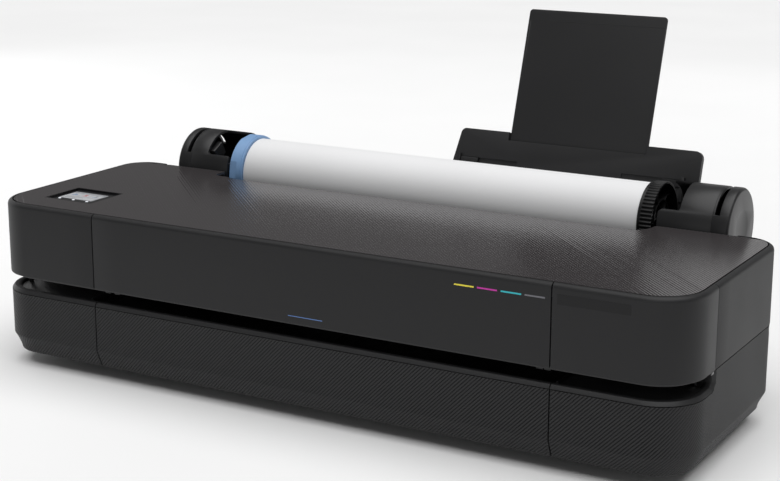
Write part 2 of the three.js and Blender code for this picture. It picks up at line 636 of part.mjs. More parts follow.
function edgeGuide(side) {
  const at = (u) => TRAY_CENTRE + side * u;
  const span = (a, b, v0, v1, n0, n1) =>
    box(Math.min(at(a), at(b)), Math.max(at(a), at(b)), v0, v1, n0, n1);
  const rackLow = side < 0 ? -19.2 : -27;
  return union([
    span(168, 172.5, 8, 42, 0.4, 6),
    span(168, 172.5, -27, 9, 0.4, 3.6),
    span(141, 169, 28.6, 38.2, 0.4, 2.4),
    span(141, 167, 28.6, 38.2, -2, 1),
    span(141, 169, -26.5, -17.6, 0.4, 2.4),
    span(141, 167, -26.5, -17.6, -4.2, 1),
    span(-18, 167, rackLow, rackLow + 2.2, -6, -3.2),
    span(141, 167, -27, -17, -6, -3.2),
  ]);
}
add("edge_guide_left", inTray(edgeGuide(-1)), DARK);
add("edge_guide_right", inTray(edgeGuide(1)), DARK);

// ---- common frame: origin at the centre of the footprint, on the floor ----
const bounds = new THREE.Box3().setFromObject(group);
const centre = bounds.getCenter(new THREE.Vector3());
for (const part of group.children) {
  part.geometry.translate(-centre.x, -centre.y, -bounds.min.z);
}

export default group;
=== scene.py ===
"""Large format plotter, its looks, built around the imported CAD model.

Lengths are in millimetres in the part's own frame (front face at y = 0, floor at z = 0) and at() takes a point
to the row frame in metres. Every piece rides on the CAD body of the node it stands for."""
import json
import math

import bmesh
import bpy
from mathutils import Matrix, Vector

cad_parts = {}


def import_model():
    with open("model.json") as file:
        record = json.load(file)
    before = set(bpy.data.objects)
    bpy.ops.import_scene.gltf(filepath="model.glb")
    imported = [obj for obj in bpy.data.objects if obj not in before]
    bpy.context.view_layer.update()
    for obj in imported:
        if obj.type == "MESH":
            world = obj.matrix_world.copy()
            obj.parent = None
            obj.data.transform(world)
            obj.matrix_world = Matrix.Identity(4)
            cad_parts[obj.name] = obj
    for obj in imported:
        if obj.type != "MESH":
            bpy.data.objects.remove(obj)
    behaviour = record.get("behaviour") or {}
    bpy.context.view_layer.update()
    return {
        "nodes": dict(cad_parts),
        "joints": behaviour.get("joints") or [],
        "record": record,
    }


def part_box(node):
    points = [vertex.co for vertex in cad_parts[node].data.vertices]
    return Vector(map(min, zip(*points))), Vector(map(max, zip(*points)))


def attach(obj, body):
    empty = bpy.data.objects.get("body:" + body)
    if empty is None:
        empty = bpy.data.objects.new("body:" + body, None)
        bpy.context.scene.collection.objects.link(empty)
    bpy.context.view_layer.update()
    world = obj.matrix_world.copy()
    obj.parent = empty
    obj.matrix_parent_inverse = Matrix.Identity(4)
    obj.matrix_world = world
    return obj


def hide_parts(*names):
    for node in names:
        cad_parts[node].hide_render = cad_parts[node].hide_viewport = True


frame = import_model()
BODY = {n: b for b, nodes in frame["record"]["behaviour"]["bodies"].items() for n in nodes}
JOINT = {j["name"]: j for j in frame["joints"]}
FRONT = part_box("front_panel_center")[0].y


def at(x, y, z):
    """A point of the part's own frame, in millimetres, as a point of the row frame in metres."""
    return Vector((x / 1000, y / 1000 + FRONT, z / 1000))


def low(node, corner=0):
    """Lowest corner of a CAD node, in the part's own millimetres."""
    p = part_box(node)[corner]
    return Vector((p.x * 1000, (p.y - FRONT) * 1000, p.z * 1000))


def high(node):
    return low(node, 1)


def placed(name, data, matrix=None):
    """A new object of the data, linked to the scene."""
    o = bpy.data.objects.new(name, data)
    if matrix:
        o.matrix_world = matrix
    bpy.context.scene.collection.objects.link(o)
    return o


# ---- camera
def camera():
    azimuth, pitch, roll = math.radians(29.746), math.radians(14.107), math.radians(0.134)
    f = Vector((-math.sin(azimuth) * math.cos(pitch), math.cos(azimuth) * math.cos(pitch), -math.sin(pitch)))
    r0 = Vector((math.cos(azimuth), math.sin(azimuth), 0))
    u0 = r0.cross(f)
    r = r0 * math.cos(roll) + u0 * math.sin(roll)
    u = u0 * math.cos(roll) - r0 * math.sin(roll)
    data = bpy.data.cameras.new("camera")
    data.sensor_width = 36
    data.lens = 77.72
    data.clip_start, data.clip_end = 0.05, 50
    turn = Matrix((r, u, -f)).transposed().to_4x4()
    bpy.context.scene.camera = placed("camera", data, Matrix.Translation(at(1092.4, -1686.8, 743.6)) @ turn)


camera()

# ---- the main sizes, read from the frame
HALF = -low("front_cover_left").x
DEPTH = 330.0
REAR_DEPTH = high("rear_cover").y
FRONT_R, BACK_R = 60.0, 42.5
REAR_HALF = high("rear_cover").x
RIM_TOP = high("front_panel_center").z
SLOT_TOP = low("front_panel_center").z
SLOT_BOTTOM = high("lower_cover_center").z
COVER_INSET = low("lower_cover_center").y
BOTTOM = low("lower_cover_center").z
SIDE_SEAM_Z = low("side_cover_right").z - 0.3
SIDE_SEAM_Y = low("side_cover_right").y - 0.6
SEAM_LEFT = low("front_panel_center").x - 0.5
SEAM_RIGHT = high("front_panel_center").x + 0.5
ROLL_Y = (low("spindle_shaft").y + high("spindle_shaft").y) / 2
ROLL_Z = (low("spindle_shaft").z + high("spindle_shaft").z) / 2
ROLL_R = (high("paper_roll").z - low("paper_roll").z) / 2
PAPER = (low("paper_roll").x, high("paper_roll").x)
TURN = math.pi / 180


def sind(degrees):
    return math.sin(degrees * TURN)


def cosd(degrees):
    return math.cos(degrees * TURN)


def hinge_at(name):
    """A joint's place in the part's own millimetres."""
    x, y, z = JOINT[name]["pos_m"]
    return x * 1000, (y - FRONT) * 1000, z * 1000


def middle(node):
    return (low(node) + high(node)) / 2


# ---- materials
class Nodes:
    """A material's node tree with short calls."""

    def __init__(self, name):
        self.m = bpy.data.materials.new(name)
        self.m.use_nodes = True
        self.t = self.m.node_tree
        self.t.nodes.clear()
        self.out = self.t.nodes.new("ShaderNodeOutputMaterial")
        self.bsdf = self.t.nodes.new("ShaderNodeBsdfPrincipled")
        self.t.links.new(self.bsdf.outputs[0], self.out.inputs[0])
        self.co = self.t.nodes.new("ShaderNodeTexCoord").outputs["Object"]

    def link(self, a, b):
        self.t.links.new(a, b)

    def node(self, kind, vector=None, operation=None, **values):
        """Adds a node, sets the named inputs and returns it."""
        n = self.t.nodes.new(kind)
        if operation:
            n.operation = operation
        for k, v in values.items():
            n.inputs[k.replace("_", " ")].default_value = v
        if vector is not None:
            self.link(vector, n.inputs[0])
        return n

    def scaled(self, *scale):
        return self.node("ShaderNodeMapping", self.co, Scale=scale).outputs[0]

    def noise(self, scale, detail=2.0, rough=0.5, vector=None):
        source = self.co if vector is None else vector
        n = self.node("ShaderNodeTexNoise", source, Scale=scale, Detail=detail, Roughness=rough)
        return n.outputs["Fac"]

    def spread(self, value, a, b, low=0.3, high=0.7):
        """Stretches a value from low..high to a..b."""
        limits = {"From Min": low, "From Max": high, "To Min": a, "To Max": b}
        return self.node("ShaderNodeMapRange", value, **limits).outputs[0]

    def tint(self, value, first, second):
        n = self.t.nodes.new("ShaderNodeMix")
        n.data_type = "RGBA"
        n.inputs["A"].default_value = (*first, 1)
        n.inputs["B"].default_value = (*second, 1)
        self.link(value, n.inputs["Factor"])
        return n.outputs["Result"]

    def mean(self, a, b, share=0.5):
        """Sum of a and b, weighted."""
        parts = [self.node("ShaderNodeMath", v, "MULTIPLY") for v in (a, b)]
        for part, w in zip(parts, (share, 1 - share)):
            part.inputs[1].default_value = w
        n = self.node("ShaderNodeMath", parts[0].outputs[0], "ADD")
        self.link(parts[1].outputs[0], n.inputs[1])
        return n.outputs[0]

    def colour(self, value, dark, light):
        self.link(self.tint(value, dark, light), self.bsdf.inputs["Base Color"])

    def gloss(self, value, a, b, *limits):
        self.link(self.spread(value, a, b, *limits), self.bsdf.inputs["Roughness"])

    def bump(self, height, distance):
        n = self.node("ShaderNodeBump", Distance=distance, Strength=1.0)
        self.link(height, n.inputs["Height"])
        self.link(n.outputs[0], self.bsdf.inputs["Normal"])

    def set(self, **values):
        for k, v in values.items():
            self.bsdf.inputs[k.replace("_", " ")].default_value = v


def srgb(*rgb):
    return tuple((c / 255 / 12.92) if c <= 10 else ((c / 255 + 0.055) / 1.055) ** 2.4 for c in rgb)


def moulded(name, color, rough, grain=0.00045, depth=0.00002, mottle=0.06, specular=0.5, patch=0.03):
    """Moulded plastic: fine spark-eroded grain, a slight mottle and a slow drift of gloss."""
    n = Nodes(name)
    fine = n.noise(1 / grain, 2.0, 0.6)
    slow = n.noise(9.0, 3.0, 0.5)
    speck = n.spread(n.mean(fine, slow, 0.6), 0, 1, 0.35, 0.65)
    n.colour(speck, *(tuple(c * k for c in color) for k in (1 - mottle, 1 + mottle)))
    n.gloss(slow, rough - patch, rough + patch)
    n.bump(fine, depth)
    n.set(Specular_IOR_Level=specular)
    return n.m


def metal(name, color, rough, along=(4.0, 900.0, 900.0)):
    """Ground or drawn steel with its marks along one axis."""
    n = Nodes(name)
    lines = n.noise(1.0, 3.0, 0.6, n.scaled(*along))
    slow = n.noise(14.0, 3.0)
    n.colour(n.spread(lines, 0, 1), tuple(c * 0.86 for c in color), color)
    n.gloss(slow, rough - 0.06, rough + 0.08)
    n.bump(lines, 0.000008)
    n.set(Metallic=1.0)
    return n.m


def fibrous(name, scale, rough, along, dark, light, gloss, depth, specular):
    """Paper or card: fine fibres over a slow drift or a winding."""
    n = Nodes(name)
    fibre = n.noise(scale, 4.0, rough)
    slow = n.noise(1.0, 2.0, 0.5, n.scaled(*along))
    n.colour(n.spread(n.mean(fibre, slow), 0, 1), dark, light)
    n.gloss(fibre, *gloss)
    n.bump(fibre, depth)
    n.set(Specular_IOR_Level=specular)
    return n.m


def paper_edge():
    """End of the wound roll: fine rings round the roll's own axis."""
    n = Nodes("paper_edge")
    shift = n.node("ShaderNodeVectorMath", n.co, "SUBTRACT")
    shift.inputs[1].default_value = at(0, ROLL_Y, ROLL_Z)
    flat = n.node("ShaderNodeVectorMath", shift.outputs[0], "MULTIPLY")
    flat.inputs[1].default_value = (0, 1, 1)
    length = n.node("ShaderNodeVectorMath", flat.outputs[0], "LENGTH")
    combine = n.node("ShaderNodeCombineXYZ", length.outputs["Value"])
    rings = n.noise(2600.0, 3.0, 0.7, combine.outputs[0])
    n.colour(n.spread(rings, 0, 1), srgb(196, 196, 198), srgb(238, 238, 238))
    n.gloss(rings, 0.65, 0.8)
    n.bump(rings, 0.00006)
    return n.m


def circuit():
    """Printed board: solder mask over tracks that run along and across it."""
    n = Nodes("circuit_board")
    along = n.noise(1.0, 1.0, 0.5, n.scaled(40, 900, 1))
    across = n.noise(1.0, 1.0, 0.5, n.scaled(900, 40, 1))
    both = n.node("ShaderNodeMath", n.spread(along, 0, 1, 0.5, 0.56), "MAXIMUM")
    n.link(n.spread(across, 0, 1, 0.55, 0.6), both.inputs[1])
    tracks = both.outputs[0]
    n.colour(tracks, srgb(16, 62, 36), srgb(34, 98, 58))
    n.gloss(tracks, 0.35, 0.5, 0, 1)
    n.bump(tracks, 0.00003)
    return n.m


def lit(name, color, strength, edge=0.9):
    """A light guide or backlit key: an even glow with a slightly cloudy face."""
    n = Nodes(name)
    cloud = n.noise(700.0, 2.0)
    glow = n.tint(n.spread(cloud, 0, 1), tuple(c * edge for c in color), color)
    n.link(glow, n.bsdf.inputs["Base Color"])
    n.link(glow, n.bsdf.inputs["Emission Color"])
    n.gloss(cloud, 0.3, 0.4)
    n.set(Emission_Strength=strength)
    return n.m


INK = (0.001, 0.000005)  # grain and depth of a glossy colour
M = {
    "steel": metal("steel_ground", (0.62, 0.63, 0.64), 0.26),
    "sheet": metal("steel_plated", (0.55, 0.56, 0.57), 0.42, (300.0, 300.0, 300.0)),
    "paper": fibrous(
        "paper_white", 1500, 0.65, (3, 3, 3), srgb(226, 226, 227), srgb(236, 236, 237), (0.62, 0.72), 0.00001, 0.3
    ),
    "paper_edge": paper_edge(),
    "card": fibrous(
        "core_card", 500, 0.7, (60, 400, 400), srgb(150, 122, 84), srgb(186, 158, 116), (0.8, 0.95), 0.00004, 0.5
    ),
    "board": circuit(),
    "screen": lit("screen_pale", srgb(150, 152, 155), 0.25, 0.94),
    "key_light": lit("key_light", srgb(215, 218, 224), 0.5),
    "line_blue": lit("light_line", srgb(70, 100, 150), 0.35),
}
for key, name, rgb, *rest in (
    ("shell", "shell_charcoal", (33, 33, 34), 0.50, 0.0006, 0.00003, 0.10, 0.28),
    ("ribbed", "shell_ribbed", (37, 37, 38), 0.42, 0.0005, 0.00001, 0.06, 0.3),
    ("lid", "lid_ribbed", (57, 54, 55), 0.16, 0.0005, 0.000002, 0.04, 0.3, 0.01),
    ("lid_under", "lid_underside", (34, 34, 35), 0.6),
    ("dark", "inner_dark", (28, 28, 29), 0.5, 0.0006, 0.00003, 0.1, 0.35),
    ("black", "inner_black", (14, 14, 15), 0.6, 0.0008, 0.00003, 0.12, 0.3),
    # deck: its grey is raised above the other inner parts as painted light, standing for the light that falls into the
    # slot
    ("deck", "deck_grey", (56, 56, 57), 0.42, 0.0006, 0.00001, 0.06, 0.35),
    ("holder", "holder_charcoal", (32, 32, 33), 0.38, 0.0006, 0.00002, 0.08, 0.4),
    ("gear", "flange_black", (15, 15, 16), 0.4, 0.0005, 0.00002, 0.1, 0.3),
    ("blue", "ring_blue", (124, 160, 202), 0.42, 0.0006, 0.00001, 0.03, 0.5),
    ("tray", "tray_charcoal", (34, 34, 35), 0.5, 0.0007, 0.00003, 0.09, 0.42),
    ("bezel", "display_black", (16, 16, 18), 0.22, 0.002, 0.000001, 0.05, 0.5),
    ("rubber", "foot_rubber", (22, 22, 22), 0.85, 0.0009, 0.00006, 0.15, 0.3),
    ("belt", "belt_rubber", (24, 24, 25), 0.8, 0.0004, 0.00004, 0.12, 0.3),
    ("engine", "carriage_plastic", (44, 44, 48), 0.5),
    ("cartridge", "cartridge_plastic", (40, 40, 44), 0.35, 0.0009, 0.00001),
    ("plate", "label_plate", (27, 27, 28), 0.35, 0.0004, 0.000002, 0.05, 0.22),
    ("yellow", "ink_yellow", (232, 216, 60), 0.35, *INK, 0.04),
    ("magenta", "ink_magenta", (196, 40, 160), 0.35, *INK, 0.04),
    ("cyan", "ink_cyan", (40, 180, 190), 0.35, *INK, 0.04),
    ("grey", "ink_grey", (104, 104, 110), 0.35, *INK, 0.04),
    ("ink_black", "ink_black", (20, 20, 22), 0.3, *INK, 0.04),
    ("white", "icon_white", (186, 188, 191), 0.4, *INK, 0.02),
    ("icon_red", "icon_red", (176, 104, 108), 0.4, *INK, 0.02),
    ("icon_blue", "icon_blue", (120, 140, 168), 0.4, *INK, 0.02),
    ("icon_grey", "icon_grey", (132, 135, 140), 0.4, *INK, 0.02),
):
    M[key] = moulded(name, srgb(*rgb), *rest)


# ---- mesh helpers
def meshed(name, bm):
    """Mesh of a bmesh with its faces turned outwards."""
    bmesh.ops.recalc_face_normals(bm, faces=bm.faces)
    mesh = bpy.data.meshes.new(name)
    bm.to_mesh(mesh)
    bm.free()
    return mesh


def to_object(name, bm, materials, body, sharp=35, smooth=True):
    """Makes an object of a bmesh in row-frame metres, shaded smooth but for its sharp edges."""
    mesh = meshed(name, bm)
    mesh.polygons.foreach_set("use_smooth", [smooth] * len(mesh.polygons))
    mesh.set_sharp_from_angle(angle=math.radians(sharp))
    for m in materials if isinstance(materials, (list, tuple)) else [materials]:
        mesh.materials.append(M[m])
    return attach(placed(name, mesh), body)


def piece(node, name, bm, materials, sharp=35, smooth=True):
    """The visible piece that stands for a CAD node and rides on its body."""
    o = to_object(name, bm, materials, BODY[node], sharp, smooth)
    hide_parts(node)
    return o


def bm_from(verts, faces):
    """A bmesh of points in the part's own millimetres."""
    bm = bmesh.new()
    vs = [bm.verts.new(at(*v)) for v in verts]
    for f in faces:
        try:
            bm.faces.new([vs[i] for i in f])
        except ValueError:
            pass
    return bm


def grid_faces(rows, per, closed=False, flip=False):
    """Quads between rows that are rings of per points each; closed joins the last row to the first."""
    faces = []
    for i in range(rows if closed else rows - 1):
        j = (i + 1) % rows
        for k in range(per):
            l = (k + 1) % per
            quad = [i * per + k, i * per + l, j * per + l, j * per + k]
            faces.append([quad[q] for q in (0, 3, 2, 1)] if flip else quad)
    return faces


def end_caps(rows, per):
    return [list(range(per)), [(rows - 1) * per + k for k in range(per)][::-1]]


def bevel(bm, width, segments=2, angle=30):
    """Rounds the sharp edges; width in millimetres."""
    limit = math.radians(angle)
    edges = [e for e in bm.edges if len(e.link_faces) == 2 and e.calc_face_angle(0) > limit]
    bmesh.ops.bevel(
        bm, geom=edges, offset=width / 1000, offset_type="OFFSET", segments=segments, profile=0.5,
        affect="EDGES", clamp_overlap=True,
    )


def softened(bm, width, segments=2, angle=30):
    """Turns the faces outwards and rounds the sharp edges, if there is a width."""
    bmesh.ops.recalc_face_normals(bm, faces=bm.faces)
    if width:
        bevel(bm, width, segments, angle)
    return bm


def weld(bm, distance=0.00001):
    bmesh.ops.remove_doubles(bm, verts=bm.verts, dist=distance)


def boolean(a, b, operation="DIFFERENCE"):
    """Mesh of object a cut, joined or intersected with object b. b is removed."""
    mod = a.modifiers.new("cut", "BOOLEAN")
    mod.operation = operation
    mod.solver = "EXACT"
    mod.object = b
    bpy.context.view_layer.update()
    mesh = bpy.data.meshes.new_from_object(a.evaluated_get(bpy.context.evaluated_depsgraph_get()))
    a.modifiers.clear()
    old = a.data
    a.data = mesh
    bpy.data.meshes.remove(old)
    bpy.data.objects.remove(b)
    return a


def loose(name, bm):
    """A helper object for booleans."""
    return placed(name, meshed(name, bm))


def taken(o):
    """The bmesh of a helper object, which is removed."""
    bm = bmesh.new()
    bm.from_mesh(o.data)
    bpy.data.objects.remove(o)
    return bm


def level(p, q, r):
    """Outline drawn in plan."""
    return p, q, r


def facing(p, q, r):
    """Outline drawn on the front."""
    return p, r, q


def endwise(p, q, r):
    """Outline drawn on the side."""
    return r, p, q


def extruded(outline, a, b, place=level):
    """Closed prism: outline [(p, q)] from a to b along the third direction; place(p, q, r) gives the point."""
    n = len(outline)
    verts = [place(p, q, a) for p, q in outline] + [place(p, q, b) for p, q in outline]
    return bm_from(verts, [list(range(n))[::-1], list(range(n, 2 * n))] + grid_faces(2, n))


def turned(profile, steps=96, start=0.0, end=360.0, centre=None):
    """Turned body about the roll's axis: profile [(x, radius)] closed, from start to end degrees."""
    cy, cz = centre or (ROLL_Y, ROLL_Z)
    whole = end - start >= 360
    rows = steps if whole else steps + 1
    verts = []
    for i in range(rows):
        a = (start + (end - start) * i / steps) * TURN
        verts += [(x, cy - r * math.cos(a), cz + r * math.sin(a)) for x, r in profile]
    n = len(profile)
    return bm_from(verts, grid_faces(rows, n, whole) + ([] if whole else end_caps(rows, n)))


def turned_z(x, y, rings, steps, capped=True):
    """Turned body about an upright axis: rings [(radius, z)] from one end to the other."""
    verts = []
    for r, z in rings:
        verts += [(x + r * cosd(i * 360 / steps), y + r * sind(i * 360 / steps), z) for i in range(steps)]
    faces = grid_faces(len(rings), steps)
    if capped:
        faces += [cap[::-1] for cap in end_caps(len(rings), steps)]
    return bm_from(verts, faces)


def joined(*bms):
    """All bmeshes as one."""
    out = bmesh.new()
    for b in bms:
        mesh = bpy.data.meshes.new("part")
        b.to_mesh(mesh)
        b.free()
        out.from_mesh(mesh)
        bpy.data.meshes.remove(mesh)
    return out


def block(x0, x1, y0, y1, z0, z1, width=0.6, segments=2):
    """A bevelled block."""
    return softened(extruded([(x0, y0), (x1, y0), (x1, y1), (x0, y1)], z0, z1), width, segments)


def rounded(x0, x1, y0, y1, radii, steps=8):
    """Counter-clockwise rounded rectangle; one radius, or four for (x1 y0), (x1 y1), (x0 y1), (x0 y0)."""
    radii = radii if isinstance(radii, list) else [radii] * 4
    corners = [(x1, y0, -90, -1, 1), (x1, y1, 0, -1, -1), (x0, y1, 90, 1, -1), (x0, y0, 180, 1, 1)]
    points = []
    for (x, y, a0, sx, sy), r in zip(corners, radii):
        if r <= 0:
            points.append((x, y))
            continue
        cx, cy = x + sx * r, y + sy * r
        points += [
            (cx + r * cosd(a0 + 90 * i / steps), cy + r * sind(a0 + 90 * i / steps))
            for i in range(steps + 1)
        ]
    return points


def filleted(points, radii, steps=6):
    """Open polyline with its inner corners rounded."""
    out = [points[0]]
    for i in range(1, len(points) - 1):
        p, c, q = (Vector((*points[k], 0)) for k in (i - 1, i, i + 1))
        a, b = (p - c).normalized(), (q - c).normalized()
        half = a.angle(b) / 2
        r = radii[i - 1]
        if r <= 0:
            out.append(tuple(c[:2]))
            continue
        t = r / math.tan(half)
        s, e = c + a * t, c + b * t
        centre = c + (a + b).normalized() * (r / math.sin(half))
        u, v = s - centre, e - centre
        sweep = u.angle(v)
        for k in range(steps + 1):
            w = k / steps
            point = centre + (u * math.sin((1 - w) * sweep) + v * math.sin(w * sweep)) / math.sin(sweep)
            out.append(tuple(point[:2]))
    out.append(points[-1])
    return out


# ---- the body's plan, by distance along the outline
FLAT = HALF - FRONT_R
FRONT_END = FLAT + FRONT_R * math.pi / 2
SIDE_END = FRONT_END + (DEPTH - FRONT_R - BACK_R)
BACK_END = SIDE_END + BACK_R * math.pi / 2


def plan(u, inset):
    """Point of the outline at distance u from the middle of the front (right is positive), moved inwards."""
    side, a = (1 if u >= 0 else -1), abs(u)
    if a <= FLAT:
        x, y, nx, ny = a, 0.0, 0.0, -1.0
    elif a <= FRONT_END:
        t = (a - FLAT) / FRONT_R
        nx, ny = math.sin(t), -math.cos(t)
        x, y = FLAT + FRONT_R * nx, FRONT_R + FRONT_R * ny
    elif a <= SIDE_END:
        x, y, nx, ny = HALF, FRONT_R + a - FRONT_END, 1.0, 0.0
    elif a <= BACK_END:
        t = (a - SIDE_END) / BACK_R
        nx, ny = math.cos(t), math.sin(t)
        x, y = HALF - BACK_R + BACK_R * nx, DEPTH - BACK_R + BACK_R * ny
    else:
        x, y, nx, ny = HALF - BACK_R - (a - BACK_END), DEPTH, 0.0, 1.0
    return side * (x - nx * inset), y - ny * inset


U_SEAM = FRONT_END + SIDE_SEAM_Y - FRONT_R
U_END = BACK_END + (HALF - BACK_R - REAR_HALF - 0.7)


def stations(u0, u1, flat_step=40.0, arc_step=3.2):
    """Distances along the outline, closer together on the corners."""
    marks = [FLAT, FRONT_END, SIDE_END, BACK_END]
    marks = sorted(set([-m for m in marks] + marks + [u0, u1]))
    marks = [m for m in marks if u0 <= m <= u1]
    out = [u0]
    for a, b in zip(marks, marks[1:]):
        mid = abs((a + b) / 2)
        arc = FLAT < mid < FRONT_END or SIDE_END < mid < BACK_END
        n = max(1, math.ceil((b - a) / (arc_step if arc else flat_step)))
        out += [a + (b - a) * (i + 1) / n for i in range(n)]
    return out


def wall_ring(section, u0, u1, r):
    """Sweeps a closed section [(inset, z)] along the outline; the outer edge eases in by r at both ends."""
    us = sorted(set(stations(u0, u1) + [u0 + r * 0.3, u0 + r, u1 - r * 0.3, u1 - r]))
    verts = []
    mid = min(i for i, z in section)
    for u in us:
        e = min(u - u0, u1 - u)
        ease = 0.0 if e >= r - 1e-6 else r * (1 - math.sqrt(max(0.0, 1 - (1 - e / r) ** 2)))
        for inset, z in section:
            verts.append((*plan(u, inset + (ease if inset < mid + 1.2 else 0.0)), z))
    return bm_from(verts, grid_faces(len(us), len(section), flip=True) + end_caps(len(us), len(section)))


FRONT_GAP = 0.7  # half gaps: front seams, corner seams, seam between the side covers
CORNER_GAP = 0.35
SIDE_GAP = 0.5
SKIN = 0.15  # the upper covers stand back by this, so that marks on them stay within the outline

# ---- lower covers: diagonal ribs and a smooth rim
RIB_PITCH = 5.0
RIB_DEPTH = 0.8
SKIRT_INSET = 11.0
SKIRT_TOP = 43.0
RIM_WIDTH = 5.0
GROOVE = 1.0
RIB_TOP = SLOT_BOTTOM - RIM_WIDTH - GROOVE
CORNER_R = 8.0
ARC_U, ARC_Z, ARC_R = U_SEAM - CORNER_R, SLOT_BOTTOM + CORNER_R, CORNER_R + RIM_WIDTH + GROOVE
WALL = 2.6
SECTION = [(24.0, BOTTOM), (SKIRT_INSET, BOTTOM), (COVER_INSET, SKIRT_TOP), (COVER_INSET, 300.0)]
PROFILE = filleted(SECTION, [3.0, 6.0], 4)
BASE_S = [0.0]
for (i0, z0), (i1, z1) in zip(PROFILE, PROFILE[1:]):
    BASE_S.append(BASE_S[-1] + math.hypot(i1 - i0, z1 - z0))


def profile_at(s):
    """(inset, z) and segment index of the lower cover's section at distance s from its bottom lip; outward(k) gives the
    direction.
    """
    k = max(i for i in range(len(BASE_S) - 1) if BASE_S[i] <= s + 1e-9)
    w = (s - BASE_S[k]) / (BASE_S[k + 1] - BASE_S[k])
    (i0, z0), (i1, z1) = PROFILE[k], PROFILE[k + 1]
    return i0 + (i1 - i0) * w, z0 + (z1 - z0) * w, k


def outward(k):
    (i0, z0), (i1, z1) = PROFILE[k], PROFILE[k + 1]
    d = math.hypot(i1 - i0, z1 - z0)
    return -(z1 - z0) / d, (i1 - i0) / d


S_VERTICAL = BASE_S[-2]
Z_VERTICAL = PROFILE[-2][1]


def s_of(z):
    return S_VERTICAL + z - Z_VERTICAL


def section_normal(s):
    """Outward direction at s, smoothed at the joints of the section."""
    _, _, k = profile_at(s)
    a = Vector(outward(k))
    if k > 0 and s - BASE_S[k] < 1e-6:
        a = (a + Vector(outward(k - 1))).normalized()
    return a


def ribbed_wall(u0, u1, tall):
    """Closed ribbed wall from u0 to u1. tall: -1 or 1 where the left or right end runs back and stands higher."""
    rows = list(BASE_S[:-1])
    top_z = SIDE_SEAM_Z - SIDE_GAP if tall else RIB_TOP
    marks = [Z_VERTICAL + (RIB_TOP - Z_VERTICAL) * i / 12 for i in range(1, 13)]
    if tall:
        marks += [ARC_Z - ARC_R * cosd(i * 15) for i in range(1, 7)]
        marks = [m for m in marks if m < top_z - 0.5] + [top_z]
    rows += [s_of(m) for m in marks]
    rows = sorted(set(rows + [(rows[0] + rows[1]) / 2]))
    step = RIB_PITCH / 4

    def strip(levels, cuts):
        """Sheared grid between the levels: columns follow the ribs. cuts are (point, normal, clear) planes."""
        bm = bmesh.new()
        j0, j1 = math.floor((u0 - levels[-1]) / step) - 1, math.ceil((u1 - levels[0]) / step) + 1
        grid = [[bm.verts.new((j * step + s, s, 0)) for j in range(j0, j1 + 1)] for s in levels]
        for lower, upper in zip(grid, grid[1:]):
            for k in range(len(lower) - 1):
                bm.faces.new((lower[k], lower[k + 1], upper[k + 1], upper[k]))
        for point, normal, clear in cuts:
            bmesh.ops.bisect_plane(
                bm, geom=bm.verts[:] + bm.edges[:] + bm.faces[:], dist=1e-5, plane_co=point, plane_no=normal,
                clear_inner=clear,
            )
        return bm

    ends = [((u0, 0, 0), (1, 0, 0), True), ((u1, 0, 0), (-1, 0, 0), True)]
    ends += [((u0 + 0.5, 0, 0), (1, 0, 0), False), ((u1 - 0.5, 0, 0), (1, 0, 0), False)]
    if not tall:
        bm = strip(rows, ends)
    else:
        def edge(s):
            z = s - S_VERTICAL + Z_VERTICAL
            if z >= ARC_Z:
                return tall * (ARC_U + ARC_R)
            return tall * (ARC_U + math.sqrt(max(0.0, ARC_R * ARC_R - (ARC_Z - z) ** 2)))

        split = s_of(RIB_TOP)
        parts = [strip([s for s in rows if s <= split + 1e-6], ends + [((tall * ARC_U, 0, 0), (1, 0, 0), False)])]
        upper = [s for s in rows if s >= split - 1e-6]
        for a, b in zip(upper, upper[1:]):
            p, q = Vector((edge(a), a, 0)), Vector((edge(b), b, 0))
            normal = Vector((q.y - p.y, -(q.x - p.x), 0)).normalized() * tall
            parts.append(strip([a, b], ends + [(p, normal, True)]))
        bm = joined(*parts)
    weld(bm, 1e-3)
    inner = {}
    outer = [(v, v.co.x, v.co.y) for v in bm.verts]
    boundary = [e for e in bm.edges if len(e.link_faces) == 1]
    faces = list(bm.faces)
    for v, u, s in outer:
        inner[v] = bm.verts.new((0, 0, 0))
    for f in faces:
        bm.faces.new([inner[v] for v in reversed(f.verts)])
    for e in boundary:
        f = e.link_faces[0]
        vs = list(f.verts)
        a, b = e.verts
        if vs[(vs.index(a) + 1) % len(vs)] is not b:
            a, b = b, a
        bm.faces.new((b, a, inner[a], inner[b]))
    for v, u, s in outer:
        inset, z, _ = profile_at(s)
        n = section_normal(s)
        phase = (u - s) / RIB_PITCH
        fade = min(1.0, 0.05 + (s - rows[0]) / 9) * (0.7 if abs(u) > U_SEAM else 1.0)
        drop = RIB_DEPTH * fade * max(0.0, 1 - 4 * abs(phase % 1 - 0.5))
        near = min(u - u0, u1 - u)
        drop += 0.45 if near < 0.05 else 0.0
        x, y = plan(u, inset - n.x * drop)
        v.co = at(x, y, z - n.y * drop)
        x, y = plan(u, inset - n.x * WALL)
        inner[v].co = at(x, y, z - n.y * WALL)
    return bm


